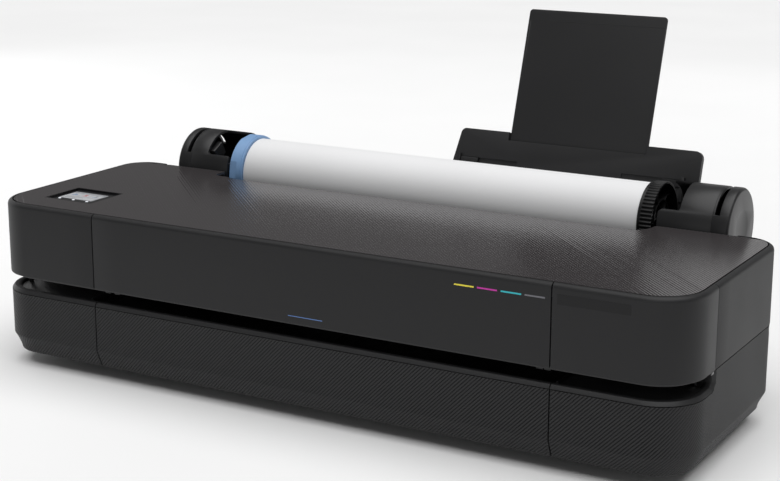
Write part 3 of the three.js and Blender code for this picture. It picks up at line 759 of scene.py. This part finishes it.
def rim_band(u0, u1, tall):
    """The smooth rim along the slot's lower edge; on a side cover it turns up beside the slot's end."""
    section = [
        (RIM_WIDTH, 0.5), (RIM_WIDTH - 0.15, 0.12), (4.6, 0.12), (4.2, 0.38), (0.7, 2.95), (0.3, 3.3), (0.05, 3.9),
        (0.0, 4.7), (0.0, 9.0), (0.35, 10.6), (1.3, 12.2), (2.8, 13.4), (4.5, 14.0), (5.4, 13.2), (3.6, 11.0),
        (2.8, 9.0), (2.8, 6.5), (4.4, 3.6), (8.6, 3.4), (8.6, 1.9), (RIM_WIDTH, 1.9),
    ]
    path = []
    if tall:
        a, b = (u0, ARC_U) if tall > 0 else (-ARC_U, u1)
        run = stations(a, b)
        if tall < 0:
            run = [-u for u in run][::-1]
        path = [(u, SLOT_BOTTOM, 0.0, -1.0) for u in run]
        path += [
            (ARC_U + CORNER_R * sind(t), ARC_Z - CORNER_R * cosd(t), sind(t), -cosd(t))
            for t in range(10, 91, 10)
        ]
        path.append((U_SEAM, SIDE_SEAM_Z - SIDE_GAP, 1.0, 0.0))
        path = [(tall * u, z, tall * du, dz) for u, z, du, dz in path]
    else:
        path = [(u, SLOT_BOTTOM, 0.0, -1.0) for u in stations(u0, u1)]
    verts = []
    for u, z, du, dz in path:
        verts += [(*plan(u + du * d, COVER_INSET + depth), z + dz * d) for d, depth in section]
    return bm_from(verts, grid_faces(len(path), len(section), flip=True) + end_caps(len(path), len(section)))


def lower_cover(name, u0, u1, tall):
    bm = joined(ribbed_wall(u0, u1, tall), rim_band(u0, u1, tall))
    piece(name, name + "_skin", bm, "ribbed", 22)


lower_cover("lower_cover_center", SEAM_LEFT + FRONT_GAP, SEAM_RIGHT - FRONT_GAP, 0)
lower_cover("lower_cover_left", -U_END, SEAM_LEFT - FRONT_GAP, -1)
lower_cover("lower_cover_right", SEAM_RIGHT + FRONT_GAP, U_END, 1)


# ---- upper covers
def upper_section(bottom):
    """Outer skin with a soft bottom edge and the rounded rim beside the lid; inner skin back down."""
    outer = [(1.3, bottom), (0.6, bottom + 0.25), (0.25, bottom + 0.9), (SKIN, bottom + 1.8)]
    rim = [(SKIN, RIM_TOP - 7.0), (0.35, RIM_TOP - 5.3), (0.9, RIM_TOP - 3.7), (2.0, RIM_TOP - 2.2)]
    rim += [(3.5, RIM_TOP - 1.1), (5.0, RIM_TOP - 0.4), (6.3, RIM_TOP - 0.05), (6.7, RIM_TOP - 0.1)]
    inner = [(6.8, RIM_TOP - 0.4), (6.8, RIM_TOP - 3.6), (4.6, RIM_TOP - 5.6), (2.8, RIM_TOP - 9.0)]
    return outer + rim + inner + [(2.8, bottom + 0.4), (2.4, bottom)]


def upper_cover(name, u0, u1, bottom):
    piece(name, name + "_skin", wall_ring(upper_section(bottom), u0, u1, 0.6), "shell", 40)


upper_cover("front_panel_center", SEAM_LEFT + FRONT_GAP, SEAM_RIGHT - FRONT_GAP, SLOT_TOP)
upper_cover("front_cover_left", -(U_SEAM - CORNER_GAP), SEAM_LEFT - FRONT_GAP, SLOT_TOP)
upper_cover("ink_door", SEAM_RIGHT + FRONT_GAP, U_SEAM - CORNER_GAP, SLOT_TOP)
upper_cover("side_cover_left", -U_END, -(U_SEAM + CORNER_GAP), SIDE_SEAM_Z + SIDE_GAP)
upper_cover("side_cover_right", U_SEAM + CORNER_GAP, U_END, SIDE_SEAM_Z + SIDE_GAP)


# ---- small marks on the front
def decal(name, material, body, x0, x1, z0, z1, proud=0.12, radius=0.0):
    bm = extruded(rounded(x0, x1, z0, z1, radius, 4), 0.6, SKIN - proud, facing)
    return to_object(name, bm, material, body, 30)


MARKS = (("yellow", 214.8, 240.6), ("magenta", 244.9, 270.9), ("cyan", 275.6, 301.7), ("grey", 306.0, 331.6))
for tag, x0, x1 in MARKS:
    decal("ink_mark_" + tag, tag, "chassis", x0, x1, 212.8, 214.7)
decal("light_line", "line_blue", "chassis", -18, 32.3, 140.0, 141.0)
decal("name_plate_blank", "plate", "ink_door", 346.7, 436.4, 208.5, 220.6, 0.15, 0.6)


# ---- lid
LID_TOP = high("top_cover").z
LID_GAP = 1.9
_, AXIS_Y, AXIS_Z = hinge_at("lid_hinge")


def lid_outline():
    inset = 6.8 + LID_GAP
    x1, y0, y1 = HALF - inset, inset, 322.6
    rf, rb = FRONT_R - inset, BACK_R - inset
    right = [(x1 - rf + rf * sind(t), y0 + rf - rf * cosd(t)) for t in range(0, 91, 5)]
    right += [(x1 - rb + rb * cosd(t), y1 - rb + rb * sind(t)) for t in range(0, 91, 6)]
    notch = [(446, y1), (446, 314.6), (440.0, 314.6), (440.0, y1)]
    bay = [(346, y1), (343.2, 320.6), (341.2, 317.4), (340.3, 312.5), (339.4, 305.5), (337.2, 298.5), (333.0, 291.8)]
    bay += [(327.5, 287.0), (320.5, 284.6), (312.0, 284.0), (-302.5, 284.0), (-305.2, 285.3), (-308.2, 288.8)]
    bay += [(-311.6, 290.8), (-316.0, 291.4), (-327.0, 291.8), (-332.4, 293.3), (-335.8, 296.6), (-337.0, 301.0)]
    bay += [(-337.6, y1)]
    pts = right + notch + bay + [(-x, y) for x, y in (right + notch)[::-1]]
    pts = [(x, min(y, AXIS_Y - (3.4 if abs(x) > 460 else 0))) for x, y in pts]
    out = [pts[0]]
    for p in pts[1:]:
        if math.hypot(p[0] - out[-1][0], p[1] - out[-1][1]) > 0.01:
            out.append(p)
    return out


BEZEL = low("display_bezel"), high("display_bezel")
DISPLAY = (BEZEL[0].x - 0.3, BEZEL[1].x + 0.3, BEZEL[0].y - 0.3, BEZEL[1].y + 0.3)


def lid_plate():
    """Thin plate whose top carries fine ribs at 45 degrees in plan, cut to the lid's outline."""
    pitch, depth = 4.0, 0.22
    step = pitch / 4
    reach = 620.0
    n0, n1 = int(-360 / step), int(600 / step)
    root = math.sqrt(0.5)
    verts = []
    for j in range(n0, n1 + 1):
        drop = depth * (0, 0, 0, 1)[j % 4]
        a = j * step
        top, under = LID_TOP - drop, LID_TOP - 3.2
        for q, z in ((-reach, top), (reach, top), (reach, under), (-reach, under)):
            verts.append(((a + q) * root, (a - q) * root, z))
    m = n1 - n0
    faces = grid_faces(m + 1, 4) + [[0, 3, 2, 1], [m * 4 + k for k in range(4)]]
    slab = loose("slab", bm_from(verts, faces))
    cutter = loose("outline", extruded(lid_outline(), LID_TOP - 3.0, LID_TOP + 5))
    boolean(slab, cutter, "INTERSECT")
    x0, x1, y0, y1 = DISPLAY
    window = extruded(rounded(x0, x1, y0, y1, 1.2, 3), LID_TOP - 9, LID_TOP + 9)
    boolean(slab, loose("window", window))
    return taken(slab)


piece("top_cover", "lid_plate", lid_plate(), "lid", 30, False)


def tube_x(x0, x1, y, z, radius, steps=24, width=0.3):
    """A rod along x with eased ends."""
    edge = radius - width
    profile = [(x0, 0.001), (x0, edge), (x0 + width, radius), (x1 - width, radius), (x1, edge), (x1, 0.001)]
    bm = turned(profile, steps=steps, centre=(y, z))
    weld(bm)
    return bm


nose = [tube_x(a, b, AXIS_Y, AXIS_Z, 3.15) for a, b in ((-466, -446), (-440, -338), (346, 440), (446, 466))]
pins = [tube_x(a, b, AXIS_Y, AXIS_Z, 1.4, 12) for a, b in ((-447, -439), (439, 447))]
to_object("lid_hinge_barrels", joined(*nose, *pins), "lid_under", "lid")


def ring_wall(outline_outer, outline_inner, z0, z1):
    """Closed wall between two outlines with the same number of points."""
    levels = ((outline_outer, z0), (outline_outer, z1), (outline_inner, z1), (outline_inner, z0))
    verts = [(x, y, z) for outline, z in levels for x, y in outline]
    return bm_from(verts, grid_faces(4, len(outline_outer), True))


under = [
    ring_wall(
        rounded(-470, 470, 30, 270, [30, 10, 10, 30]), rounded(-467, 467, 33, 267, [27, 7, 7, 27]),
        222.3, LID_TOP - 3.1,
    )
]
under += [block(x - 1.4, x + 1.4, 33.4, 266.6, 224, LID_TOP - 3.1, 0.4) for x in (-240, -120, 0, 120, 240, 360)]
under += [block(-358, 464, y - 1.2, y + 1.2, 226, LID_TOP - 3.1, 0.4) for y in (110, 190)]
to_object("lid_underside_ribs", joined(*under), "lid_under", "lid")


# ---- CAD shapes with finished edges
def refined(node, width, segments):
    """The CAD node's own shape, its facets merged and its edges rounded."""
    bm = bmesh.new()
    bm.from_mesh(frame["nodes"][node].data)
    weld(bm)
    bmesh.ops.dissolve_limit(bm, angle_limit=0.4 * TURN, verts=bm.verts, edges=bm.edges)
    bevel(bm, width, segments, 50)
    return bm


def finish_node(node, material, width=0.4, segments=2, extra=()):
    bm = joined(refined(node, width, segments), *extra)
    piece(node, node + "_piece", bm, material)


# ---- ink door hinge and the ends of the slot
DOOR_X, DOOR_Y, _ = hinge_at("ink_door_hinge")


def post(x, y, z0, z1, radius, width=0.3, steps=24):
    """A round post along z with eased ends."""
    rings = [(radius - width, z0), (radius, z0 + width), (radius, z1 - width), (radius - width, z1)]
    return turned_z(x, y, rings, steps)


posts = [post(DOOR_X, DOOR_Y, 138, 220, 2.1), post(DOOR_X, DOOR_Y, 127.2, 139, 1.15, 0.2)]
to_object("ink_door_hinge_post", joined(*posts), "dark", "ink_door")

# ---- slot: deck, chin, side walls
finish_node("output_deck", "deck", 0.7, 2)
ribs = [block(x - 0.9, x + 0.9, 20, 73.2, 106.6, 108.4, 0.6) for x in range(-320, 321, 32)]
bed = [block(-341.5, 341.5, 17.5, 73.4, 106.5, 107.5, 0.4), block(-341.5, 341.5, 60, 73.6, 106.5, 109.2, 1.2, 3)]
to_object("paper_path_floor", joined(*bed, *ribs), "black", "chassis")
guards = [block(x, x + 9, 9.5, 24, 124.5, 127.2, 0.8) for x in (-316, -301, 318, 328)]
guards += [block(-344.2, -342.4, 14, 73, 104.5, 112, 0.5), block(342.4, 344.2, 14, 73, 104.5, 112, 0.5)]
to_object("paper_guards", joined(*guards), "dark", "chassis")
to_object("slot_props", post(-484, 52, 106.9, 126.8, 3.2, 0.4), "holder", "chassis")
finish_node("front_chin", "bezel", 0.9, 3)
for tag, x0, x1 in (("left", -503.4, -484.2), ("right", 484.2, 503.4)):
    wall = block(x0, x1, SIDE_SEAM_Y + 0.3, SIDE_SEAM_Y + 2.8, 100.2, 128.0)
    to_object("slot_end_wall_" + tag, wall, "dark", "chassis")

# ---- display and keys
def display_bezel():
    bx0, bx1, by0, by1 = (v + d for v, d in zip(DISPLAY, (0.45, -0.45, 0.45, -0.45)))
    plate = extruded(rounded(bx0, bx1, by0, by1, 1.4, 4), 222.2, LID_TOP - 0.1)
    body = loose("bezel", softened(plate, 0.35, 2, 60))
    pocket = rounded(bx0 + 1.3, bx1 - 1.3, by0 + 1.3, by1 - 1.3, 1.0, 4)
    cutter = extruded(pocket, 230.0, 240)
    boolean(body, loose("pocket", cutter))
    s0, s1 = low("display_screen"), high("display_screen")
    cutter = extruded(rounded(s0.x - 0.3, s1.x + 0.3, s0.y - 0.3, s1.y + 0.3, 0.5, 3), 227.6, 240)
    boolean(body, loose("window", cutter))
    for key in ("key_home", "key_back", "key_help"):
        c = middle(key)
        boolean(body, loose("hole", post(c.x, c.y, 226.4, 240, 2.45, 0.1)))
    return taken(body)


piece("display_bezel", "display_bezel_piece", display_bezel(), "bezel")


def screen():
    a, b = low("display_screen"), high("display_screen")
    glass = extruded(rounded(a.x, b.x, a.y, b.y, 0.6, 3), 228.1, 230.12)
    glass = softened(glass, 0.2, 2, 60)
    piece("display_screen", "display_screen_piece", glass, "screen")
    w, h = b.x - a.x, b.y - a.y

    def tiles(tag, material, z, lift, *boxes):
        spots = [(a.x + w * p0, a.x + w * p1, a.y + h * q0, a.y + h * q1) for p0, p1, q0, q1 in boxes]
        bm = joined(*[extruded(rounded(*spot, 0.3, 3), z - 0.05, z + lift) for spot in spots])
        to_object("screen_" + tag, bm, material, "lid", 30)

    cards = [(0.05, 0.32, 0.42, 0.8), (0.37, 0.64, 0.42, 0.8), (0.69, 0.95, 0.42, 0.8), (0.05, 0.95, 0.08, 0.34)]
    bar = [(0.03, 0.97, 0.84, 0.87), (0.05, 0.12, 0.9, 0.96), (0.86, 0.95, 0.9, 0.96)]
    tiles("bar", "icon_grey", 230.12, 0.06, *bar)
    tiles("cards", "white", 230.12, 0.06, *cards)
    icons = (
        ("blue", "icon_blue", (0.1, 0.27, 0.52, 0.6), (0.14, 0.23, 0.62, 0.72), (0.74, 0.9, 0.5, 0.54)),
        ("red", "icon_red", (0.43, 0.58, 0.5, 0.55), (0.46, 0.55, 0.58, 0.72)),
        ("dark", "icon_grey", (0.78, 0.86, 0.57, 0.74), (0.1, 0.6, 0.24, 0.28), (0.1, 0.42, 0.14, 0.18)),
    )
    for tag, material, *boxes in icons:
        tiles("icon_" + tag, material, 230.17, 0.07, *boxes)


screen()


def key(node):
    c, z0, z1 = middle(node), low(node).z, high(node).z
    r = (high(node).x - low(node).x) / 2 - 0.05
    rings = [(r, z0 + 0.1), (r, z1 - 0.6), (r * 0.93, z1 - 0.25), (r * 0.75, z1 - 0.08), (r * 0.4, z1 - 0.02)]
    piece(node, node + "_cap", turned_z(c.x, c.y, rings, 32), "key_light", 60)


for k in ("key_home", "key_back", "key_help"):
    key(k)


# ---- media roll, core, shaft and bearings
def ring_body(x0, x1, outer, inner, width=0.4, steps=96):
    """A tube along the roll axis with eased edges."""
    w = width
    profile = [
        (x0, inner + w), (x0, outer - w), (x0 + w, outer), (x1 - w, outer), (x1, outer - w), (x1, inner + w),
        (x1 - w, inner), (x0 + w, inner),
    ]
    return turned(profile, steps=steps)


def media_roll():
    x0, x1 = PAPER
    steps, verts = 160, []
    edge = 0.35
    for i in range(steps + 1):
        a = (-60 + 360 * i / steps) * TURN
        r = ROLL_R - 0.3 + 0.28 * i / steps
        inner = 27.5
        for x, q in ((x0, inner), (x0, r - edge), (x0 + edge, r), (x1 - edge, r), (x1, r - edge), (x1, inner)):
            verts.append((x, ROLL_Y - q * math.cos(a), ROLL_Z + q * math.sin(a)))
    bm = bm_from(verts, grid_faces(steps + 1, 6) + end_caps(steps + 1, 6))
    bmesh.ops.recalc_face_normals(bm, faces=bm.faces)
    for f in bm.faces:
        f.material_index = 1 if abs(f.normal.x) > 0.9 else 0
    return bm


piece("paper_roll", "paper_roll_wound", media_roll(), ["paper", "paper_edge"], 30)
a, b = low("paper_core"), high("paper_core")
piece("paper_core", "paper_core_tube", ring_body(a.x, b.x, 27.15, 25.05, 0.2), "card")


def shaft():
    a, b = low("spindle_shaft").x, high("spindle_shaft").x
    profile = [(a, 0.001), (a, 6.6), (a + 1.2, 7.95), (a + 9, 7.95), (a + 9.3, 7.5), (a + 10.7, 7.5), (a + 11, 7.95)]
    profile += [(b - 11, 7.95), (b - 10.7, 7.5), (b - 9.3, 7.5), (b - 9, 7.95), (b - 1.2, 7.95), (b, 6.6), (b, 0.001)]
    bm = turned(profile, steps=48)
    weld(bm)
    return bm


piece("spindle_shaft", "spindle_shaft_turned", shaft(), "steel")
for tag in ("left", "right"):
    node = "spindle_bearing_" + tag
    a, b = low(node).x, high(node).x
    profile = [(a, 8.6), (a, 10.3), (a + 0.6, 10.9), (a + 4.4, 10.9), (a + 4.8, 10.3), (a + 6.2, 10.3), (a + 6.6, 10.9)]
    profile += [(b - 0.6, 10.9), (b, 10.3), (b, 8.6), (b - 0.3, 8.35), (a + 0.3, 8.35)]
    piece(node, node + "_bush", turned(profile, steps=48), "dark")


# ---- end flanges
def spoke(x0, x1, r0, r1, angle, bend, thick):
    """A curved rib from the hub out to the rim."""
    steps, outline = 8, []
    for side in (1, -1):
        order = range(steps + 1) if side > 0 else range(steps, -1, -1)
        for i in order:
            w = i / steps
            r, a = r0 + (r1 - r0) * w, (angle + bend * w * w) * TURN + side * thick / 2 / (r0 + (r1 - r0) * w)
            outline.append((ROLL_Y - r * math.cos(a), ROLL_Z + r * math.sin(a)))
    return softened(extruded(outline, x0, x1, endwise), 0.3, 2, 60)


def blue_ring():
    x0, x1 = low("flange_blue").x, PAPER[0] - 0.35
    rim = [(x0, 46.6), (x0, 51.5), (x0 + 0.35, 52.2), (x0 + 1.1, 52.45), (x1 - 3.4, 52.45)]
    rim += [(x1 - 3.0, 52.1), (x1 - 3.0, 51.7), (x1 - 0.7, 51.7), (x1, 51.0), (x1, 46.0), (x0 + 0.6, 46.0)]
    body = loose("ring", turned(rim, steps=128))
    for deg in (9, 81, 153, 225, 297):
        a = deg * TURN
        c, q = math.cos(a), math.sin(a)
        flat = [(50.9, -20), (60, -20), (60, 20), (50.9, 20)]
        flat = [(ROLL_Y - (d * c - t * q), ROLL_Z + d * q + t * c) for d, t in flat]
        verts = [(x, *p) for x in (x0 - 1, x0 + 13.5) for p in flat]
        verts[4] = (x0 + 11.5, *flat[0])
        verts[7] = (x0 + 11.5, *flat[3])
        faces = [[0, 3, 2, 1], [4, 5, 6, 7], [0, 1, 5, 4], [1, 2, 6, 5], [2, 3, 7, 6], [3, 0, 4, 7]]
        boolean(body, loose("flat", bm_from(verts, faces)))
    bm = taken(body)
    web = ring_body(x1 - 3.4, x1 - 0.3, 46.5, 22, 0.3)
    hub = ring_body(x0 + 0.1, high("flange_blue").x - 0.1, 24.3, 8.4, 0.5, 64)
    spokes = [spoke(x0 + 4.5, x1 - 3, 23.8, 46.3, d, 0, 1.8) for d in range(0, 360, 45)]
    return joined(bm, web, hub, *spokes)


piece("flange_blue", "flange_blue_moulded", blue_ring(), "blue", 9)


def black_flange():
    x0, x1 = PAPER[1] + 0.35, high("flange_black").x
    lip_end = x0 + 4.7
    lip = turned([(x0, 45.2), (x0, 49.5), (x0 + 0.7, 50.15), (lip_end, 50.15), (lip_end, 45.2)], steps=128)
    teeth, per = 60, 10
    n = teeth * per
    shape = [1.0, 1.0, 0.96, 0.82, 0.4, 0.05, 0.0, 0.05, 0.4, 0.82]
    verts = []
    sections = [(lip_end - 0.4, 0.8), (lip_end + 0.2, 0.1), (lip_end + 0.6, 0.0), (x1 - 0.6, 0.0), (x1 - 0.1, 0.5)]
    for x, back in sections:
        for i in range(n):
            a = 2 * math.pi * i / n
            r = 50.2 + 1.55 * shape[i % per] - back
            verts.append((x, ROLL_Y - r * math.cos(a), ROLL_Z + r * math.sin(a)))
    for x in (x1 - 0.1, lip_end - 0.4):
        for i in range(n):
            a = 2 * math.pi * i / n
            verts.append((x, ROLL_Y - 48.0 * math.cos(a), ROLL_Z + 48.0 * math.sin(a)))
    rim = bm_from(verts, grid_faces(len(sections) + 2, n, True))
    web = ring_body(x0 + 0.2, x0 + 2.6, 47.0, 22, 0.3)
    core_plug = ring_body(low("flange_black").x + 0.1, x0 + 1, 24.3, 8.4, 0.5, 64)
    hub = ring_body(x0 + 1.2, x1 - 0.2, 12.5, 8.4, 0.5, 64)
    collar = ring_body(x0 + 1.2, x1 - 4.5, 27.6, 25.4, 0.4, 96)
    outer = [spoke(x0 + 2.2, x1 - 4.8, 27.2, 48.2, d, 34, 1.5) for d in range(0, 360, 60)]
    inner = [spoke(x0 + 2.2, x1 - 4.8, 12.2, 25.8, d + 20, -16, 1.5) for d in range(0, 360, 60)]
    return joined(lip, rim, web, core_plug, hub, collar, *outer, *inner)


piece("flange_black", "flange_black_moulded", black_flange(), "gear")


# ---- roll holders
def roll_holder(node, side, outer, cut_at, arm_end):
    r = high(node).z - ROLL_Z
    wall = 4.0
    profile = [(arm_end, r - wall), (arm_end, r - 0.9), (arm_end + 0.3, r - 0.3), (arm_end + 1.0, r)]
    profile += [(outer - 4.5 * (1 - sind(t)), r - 4.5 * (1 - cosd(t))) for t in range(0, 91, 15)]
    profile += [(outer, 26), (outer - 0.2, 25.2), (outer - 1.5, 18), (outer - 2.2, 9), (outer - 2.4, 0.001)]
    profile += [(outer - 5.5, 0.001), (outer - 5.5, r - wall)]
    shell = turned([(side * x, q) for x, q in profile], steps=144)
    weld(shell)
    body = loose("drum", shell)
    top = ROLL_Z + 26
    outline = [(arm_end - 5, 330), (arm_end - 5, top - 5.5), (arm_end - 0.01, top - 5.5)]
    outline += [(arm_end + 5.5 - 5.5 * cosd(t), top - 5.5 + 5.5 * sind(t)) for t in range(10, 91, 10)]
    outline += [(cut_at - 4.5 + 4.5 * sind(t), top + 4.5 - 4.5 * cosd(t)) for t in range(0, 91, 10)]
    outline += [(cut_at, 330)]
    outline = [(side * x, z) for x, z in outline]
    boolean(body, loose("window", extruded(outline, 300, ROLL_Y + 12.6, facing)))
    g0, g1 = outer - 21, outer - 14
    groove = [(g0, r - 6), (g1, r - 6), (g1, r + 3), (g0, r + 3)]
    boolean(body, loose("groove", turned([(side * x, q) for x, q in groove], steps=96, start=29, end=151)))
    seam = [(g0 - 2.6, r - 0.35), (g0 - 2.1, r - 0.35), (g0 - 2.1, r + 2), (g0 - 2.6, r + 2)]
    boolean(body, loose("seam", turned([(side * x, q) for x, q in seam], steps=144)))
    bm = taken(body)
    weld(bm, 5e-6)
    bmesh.ops.dissolve_limit(bm, angle_limit=0.3 * TURN, verts=bm.verts, edges=bm.edges)
    bevel(bm, 0.5, 2, 55)
    s0, s1 = arm_end + 12, arm_end + 20
    foot = [(40, 10), (40, -20), (49.4, -20)]
    foot += [(53.4 * cosd(t), 53.4 * sind(t)) for t in range(-25, -156, -5)]
    foot += [(-49.4, -20), (-40, -20), (-40, 10), (-11.4, 10), (-11.4, 0)]
    foot += [(-11.4 * cosd(t), -11.4 * sind(t)) for t in range(10, 171, 10)]
    foot += [(11.4, 0), (11.4, 10)]
    saddle = extruded([(ROLL_Y + p, ROLL_Z + q) for p, q in foot], side * s0, side * s1, endwise)
    saddle = softened(saddle, 0.7, 2, 50)
    px = sorted((side * (arm_end + 0.4), side * (outer - 0.6)))
    pedestal = block(*px, ROLL_Y - 24, ROLL_Y + 24, 160.3, ROLL_Z - 48, 1.2, 3)
    wx = sorted((side * (s1 - 0.5), side * (outer - 6)))
    web = [
        block(*wx, ROLL_Y + d - 1.2, ROLL_Y + d + 1.2, ROLL_Z - 40, ROLL_Z + 6, 0.4) for d in (-30, 30)
    ]
    cx = sorted((side * (s1 + 1), side * (s1 + 12)))
    catch = block(*cx, ROLL_Y - 9, ROLL_Y + 9, ROLL_Z - 38, ROLL_Z - 13, 1.2, 3)
    if side < 0:
        lever = block(-379.5, -370.5, -13, 11, -11, 10, 1.5, 3)
        turn = Matrix.Translation(at(0, ROLL_Y - 22, ROLL_Z + 27)) @ Matrix.Rotation(math.radians(28), 4, "X")
        lever.transform(turn @ Matrix.Translation(-at(0, 0, 0)))
        catch = joined(catch, lever)
    return joined(bm, saddle, pedestal, catch, *web)


for node, side, outer, cut_at, arm_end in (
    ("roll_holder_left", -1, -low("roll_holder_left").x, 376.5, -high("roll_holder_left").x),
    ("roll_holder_right", 1, high("roll_holder_right").x, 368.5, low("roll_holder_right").x),
):
    piece(node, node + "_moulded", roll_holder(node, side, outer, cut_at, arm_end), "holder")

finish_node("roll_cradle", "black", 0.4)


# ---- rear cover
def grid_cut(target, boxes):
    """Cuts many separate blocks out of a body at once."""
    boolean(target, loose("grid", joined(*[block(*b, 0) for b in boxes])))


def rear_cover():
    body = loose("rear", refined("rear_cover", 0.9, 3))
    d = REAR_DEPTH
    vents = [(x, x + 3.0, d - 8, d + 4, 112, 150) for x in range(180, 330, 8)]
    vents += [(x, x + 3.0, d - 8, d + 4, 112, 150) for x in range(-330, -180, 8)]
    across = [(-REAR_HALF - 2, REAR_HALF + 2, d - 0.7, d + 3, 166.0, 166.7)]
    down = [(x, x + 0.8, d - 0.7, d + 3, 18, 166.7) for x in (-150.4, 149.6)]
    recess = [(-120, -20, d - 1.0, d + 3, 60, 110)]
    recess += [(-424, -350, d - 0.8, d + 3, 40, 96), (340, 420, d - 0.8, d + 3, 40, 80)]
    for boxes in (vents, across, down, recess):
        grid_cut(body, boxes)
    return taken(body)


piece("rear_cover", "rear_cover_moulded", rear_cover(), "shell")


def plate_y(x0, x1, z0, z1, y0, y1, radius):
    return softened(extruded(rounded(x0, x1, z0, z1, radius, 5), y0, y1, facing), 0)


label = plate_y(-117, -23, 63, 107, REAR_DEPTH - 1.3, REAR_DEPTH - 0.75, 1.5)
to_object("rating_label_blank", label, "plate", "chassis")
ports = [plate_y(x, x + 15, 52, 64, REAR_DEPTH - 3, REAR_DEPTH - 0.2, 1.2) for x in (352, 374)]
port_holes = [plate_y(x + 2, x + 13, 54, 62, REAR_DEPTH - 0.6, REAR_DEPTH - 0.1, 0.6) for x in (352, 374)]
to_object("port_frames", joined(*ports), "sheet", "chassis")
to_object("port_blanks", joined(*port_holes), "black", "chassis")
finish_node("power_inlet", "black", 0.35)

# ---- sheet tray
LEAN = math.radians(18)
TRAY_Y, TRAY_Z = 440.0, 230.0


def on_tray(x, v, n):
    """Point of the leaning tray: across, up the tray and out of its face."""
    return x, TRAY_Y + v * math.sin(LEAN) - n * math.cos(LEAN), TRAY_Z + v * math.cos(LEAN) + n * math.sin(LEAN)


def tray_block(x0, x1, v0, v1, n0, n1):
    return softened(extruded([(x0, v0), (x1, v0), (x1, v1), (x0, v1)], n0, n1, on_tray), 0.1, 1)


finish_node("sheet_tray", "tray", 0.8, 3)
extension_marks = [
    tray_block(66, 268.6, 244.8, 245.6, -3.0, -2.75),
    tray_block(64.2, 65.4, 80, 244, -3.0, -2.8),
    tray_block(269.2, 270.4, 80, 244, -3.0, -2.8),
]
finish_node("tray_extension", "tray", 0.6, 3, extension_marks)
finish_node("edge_guide_left", "dark", 0.3)
finish_node("edge_guide_right", "dark", 0.3)

# ---- underside and inside
finish_node("base_chassis", "dark", 0.5)
for corner in ("front_left", "front_right", "rear_left", "rear_right"):
    node = "foot_" + corner
    c = middle(node)
    r = (high(node).x - low(node).x) / 2
    top = high(node).z - 0.1
    rows = [(0.001, 0.01), (r * 0.55, 0.01), (r * 0.6, 1.2), (r - 2.2, 1.2), (r - 1.2, 0.01), (r - 0.4, 0.6)]
    rows += [(r - 0.1, 1.8), (r - 0.1, top), (0.001, top)]
    bm = turned_z(c.x, c.y, rows, 48, False)
    weld(bm)
    piece(node, node + "_pad", bm, "rubber")

for node, material, width in (
    ("side_frame_left", "sheet", 0.3), ("side_frame_right", "sheet", 0.3), ("guide_rail", "sheet", 0.3),
    ("guide_rod", "steel", 0.5), ("carriage", "engine", 0.8), ("printhead", "cartridge", 0.6),
    ("carriage_belt", "belt", 0.15), ("drive_pulley", "steel", 0.3), ("idler_pulley", "steel", 0.3),
    ("carriage_motor", "black", 0.8), ("platen", "dark", 0.5), ("feed_roller", "steel", 0.3),
    ("pinch_shaft", "belt", 0.4), ("exit_roller", "belt", 0.4), ("cutter_unit", "engine", 0.6),
    ("service_station", "dark", 0.6), ("ink_bay", "dark", 0.4), ("main_board", "board", 0.15),
    ("power_supply", "sheet", 0.5),
):
    finish_node(node, material, width)

for ink, tint in (("black", "ink_black"), ("cyan", "cyan"), ("magenta", "magenta"), ("yellow", "yellow")):
    node = "cartridge_" + ink
    finish_node(node, "cartridge", 0.8, 3)
    a, b = low(node), high(node)
    strip = extruded(rounded(a.x + 6, b.x - 6, 150, 176, 2, 4), 23.8, 24.4, facing)
    to_object(node + "_colour", strip, tint, BODY[node])


# ---- stage and light
def stage():
    n = Nodes("floor_pale")
    soft = n.noise(2.0, 2.0)
    n.colour(n.spread(soft, 0, 1), (0.86, 0.86, 0.86), (0.88, 0.88, 0.88))
    n.set(Roughness=0.9)
    mesh = bpy.data.meshes.new("floor")
    mesh.from_pydata([(-12, -12, 0), (12, -12, 0), (12, 12, 0), (-12, 12, 0)], [], [(0, 1, 2, 3)])
    mesh.materials.append(n.m)
    placed("floor", mesh)


def aimed(o, direction):
    o.rotation_mode = "QUATERNION"
    o.rotation_quaternion = Vector(direction).to_track_quat("-Z", "Y")
    return o


def area(name, place, target, size, power):
    data = bpy.data.lights.new(name, "AREA")
    data.shape = "RECTANGLE"
    data.size, data.size_y = size
    data.energy = power
    aimed(placed(name, data), Vector(target) - Vector(place)).location = place


def world():
    w = bpy.data.worlds.new("studio")
    w.use_nodes = True
    back = w.node_tree.nodes["Background"]
    back.inputs["Color"].default_value = (1, 1, 1, 1)
    back.inputs["Strength"].default_value = 0.14
    bpy.context.scene.world = w


def dome(strength, spread, aim):
    """A very broad soft light from above, even over the whole floor."""
    data = bpy.data.lights.new("overhead", "SUN")
    data.energy = strength
    data.angle = math.radians(spread)
    aimed(placed("overhead", data), aim)


stage()
world()
dome(2.9, 75, (-0.12, 0.10, -1))
area("rear_panel", (0.33, 3.15, 1.1), (0.33, 0, 0.9), (2.35, 1.0), 3.8)
area("left_panel", (-3.0, 0.6, 0.9), (0, 0, 0.2), (2.6, 1.6), 13)
area("front_fill", (0.6, -4.0, 0.9), (0, 0, 0.2), (3.6, 1.0), 9)
area("right_low", (3.2, 2.2, 0.3), (0.5, 0.2, 0.05), (1.6, 0.5), 7)
bpy.context.scene.view_settings.view_transform = "Standard"
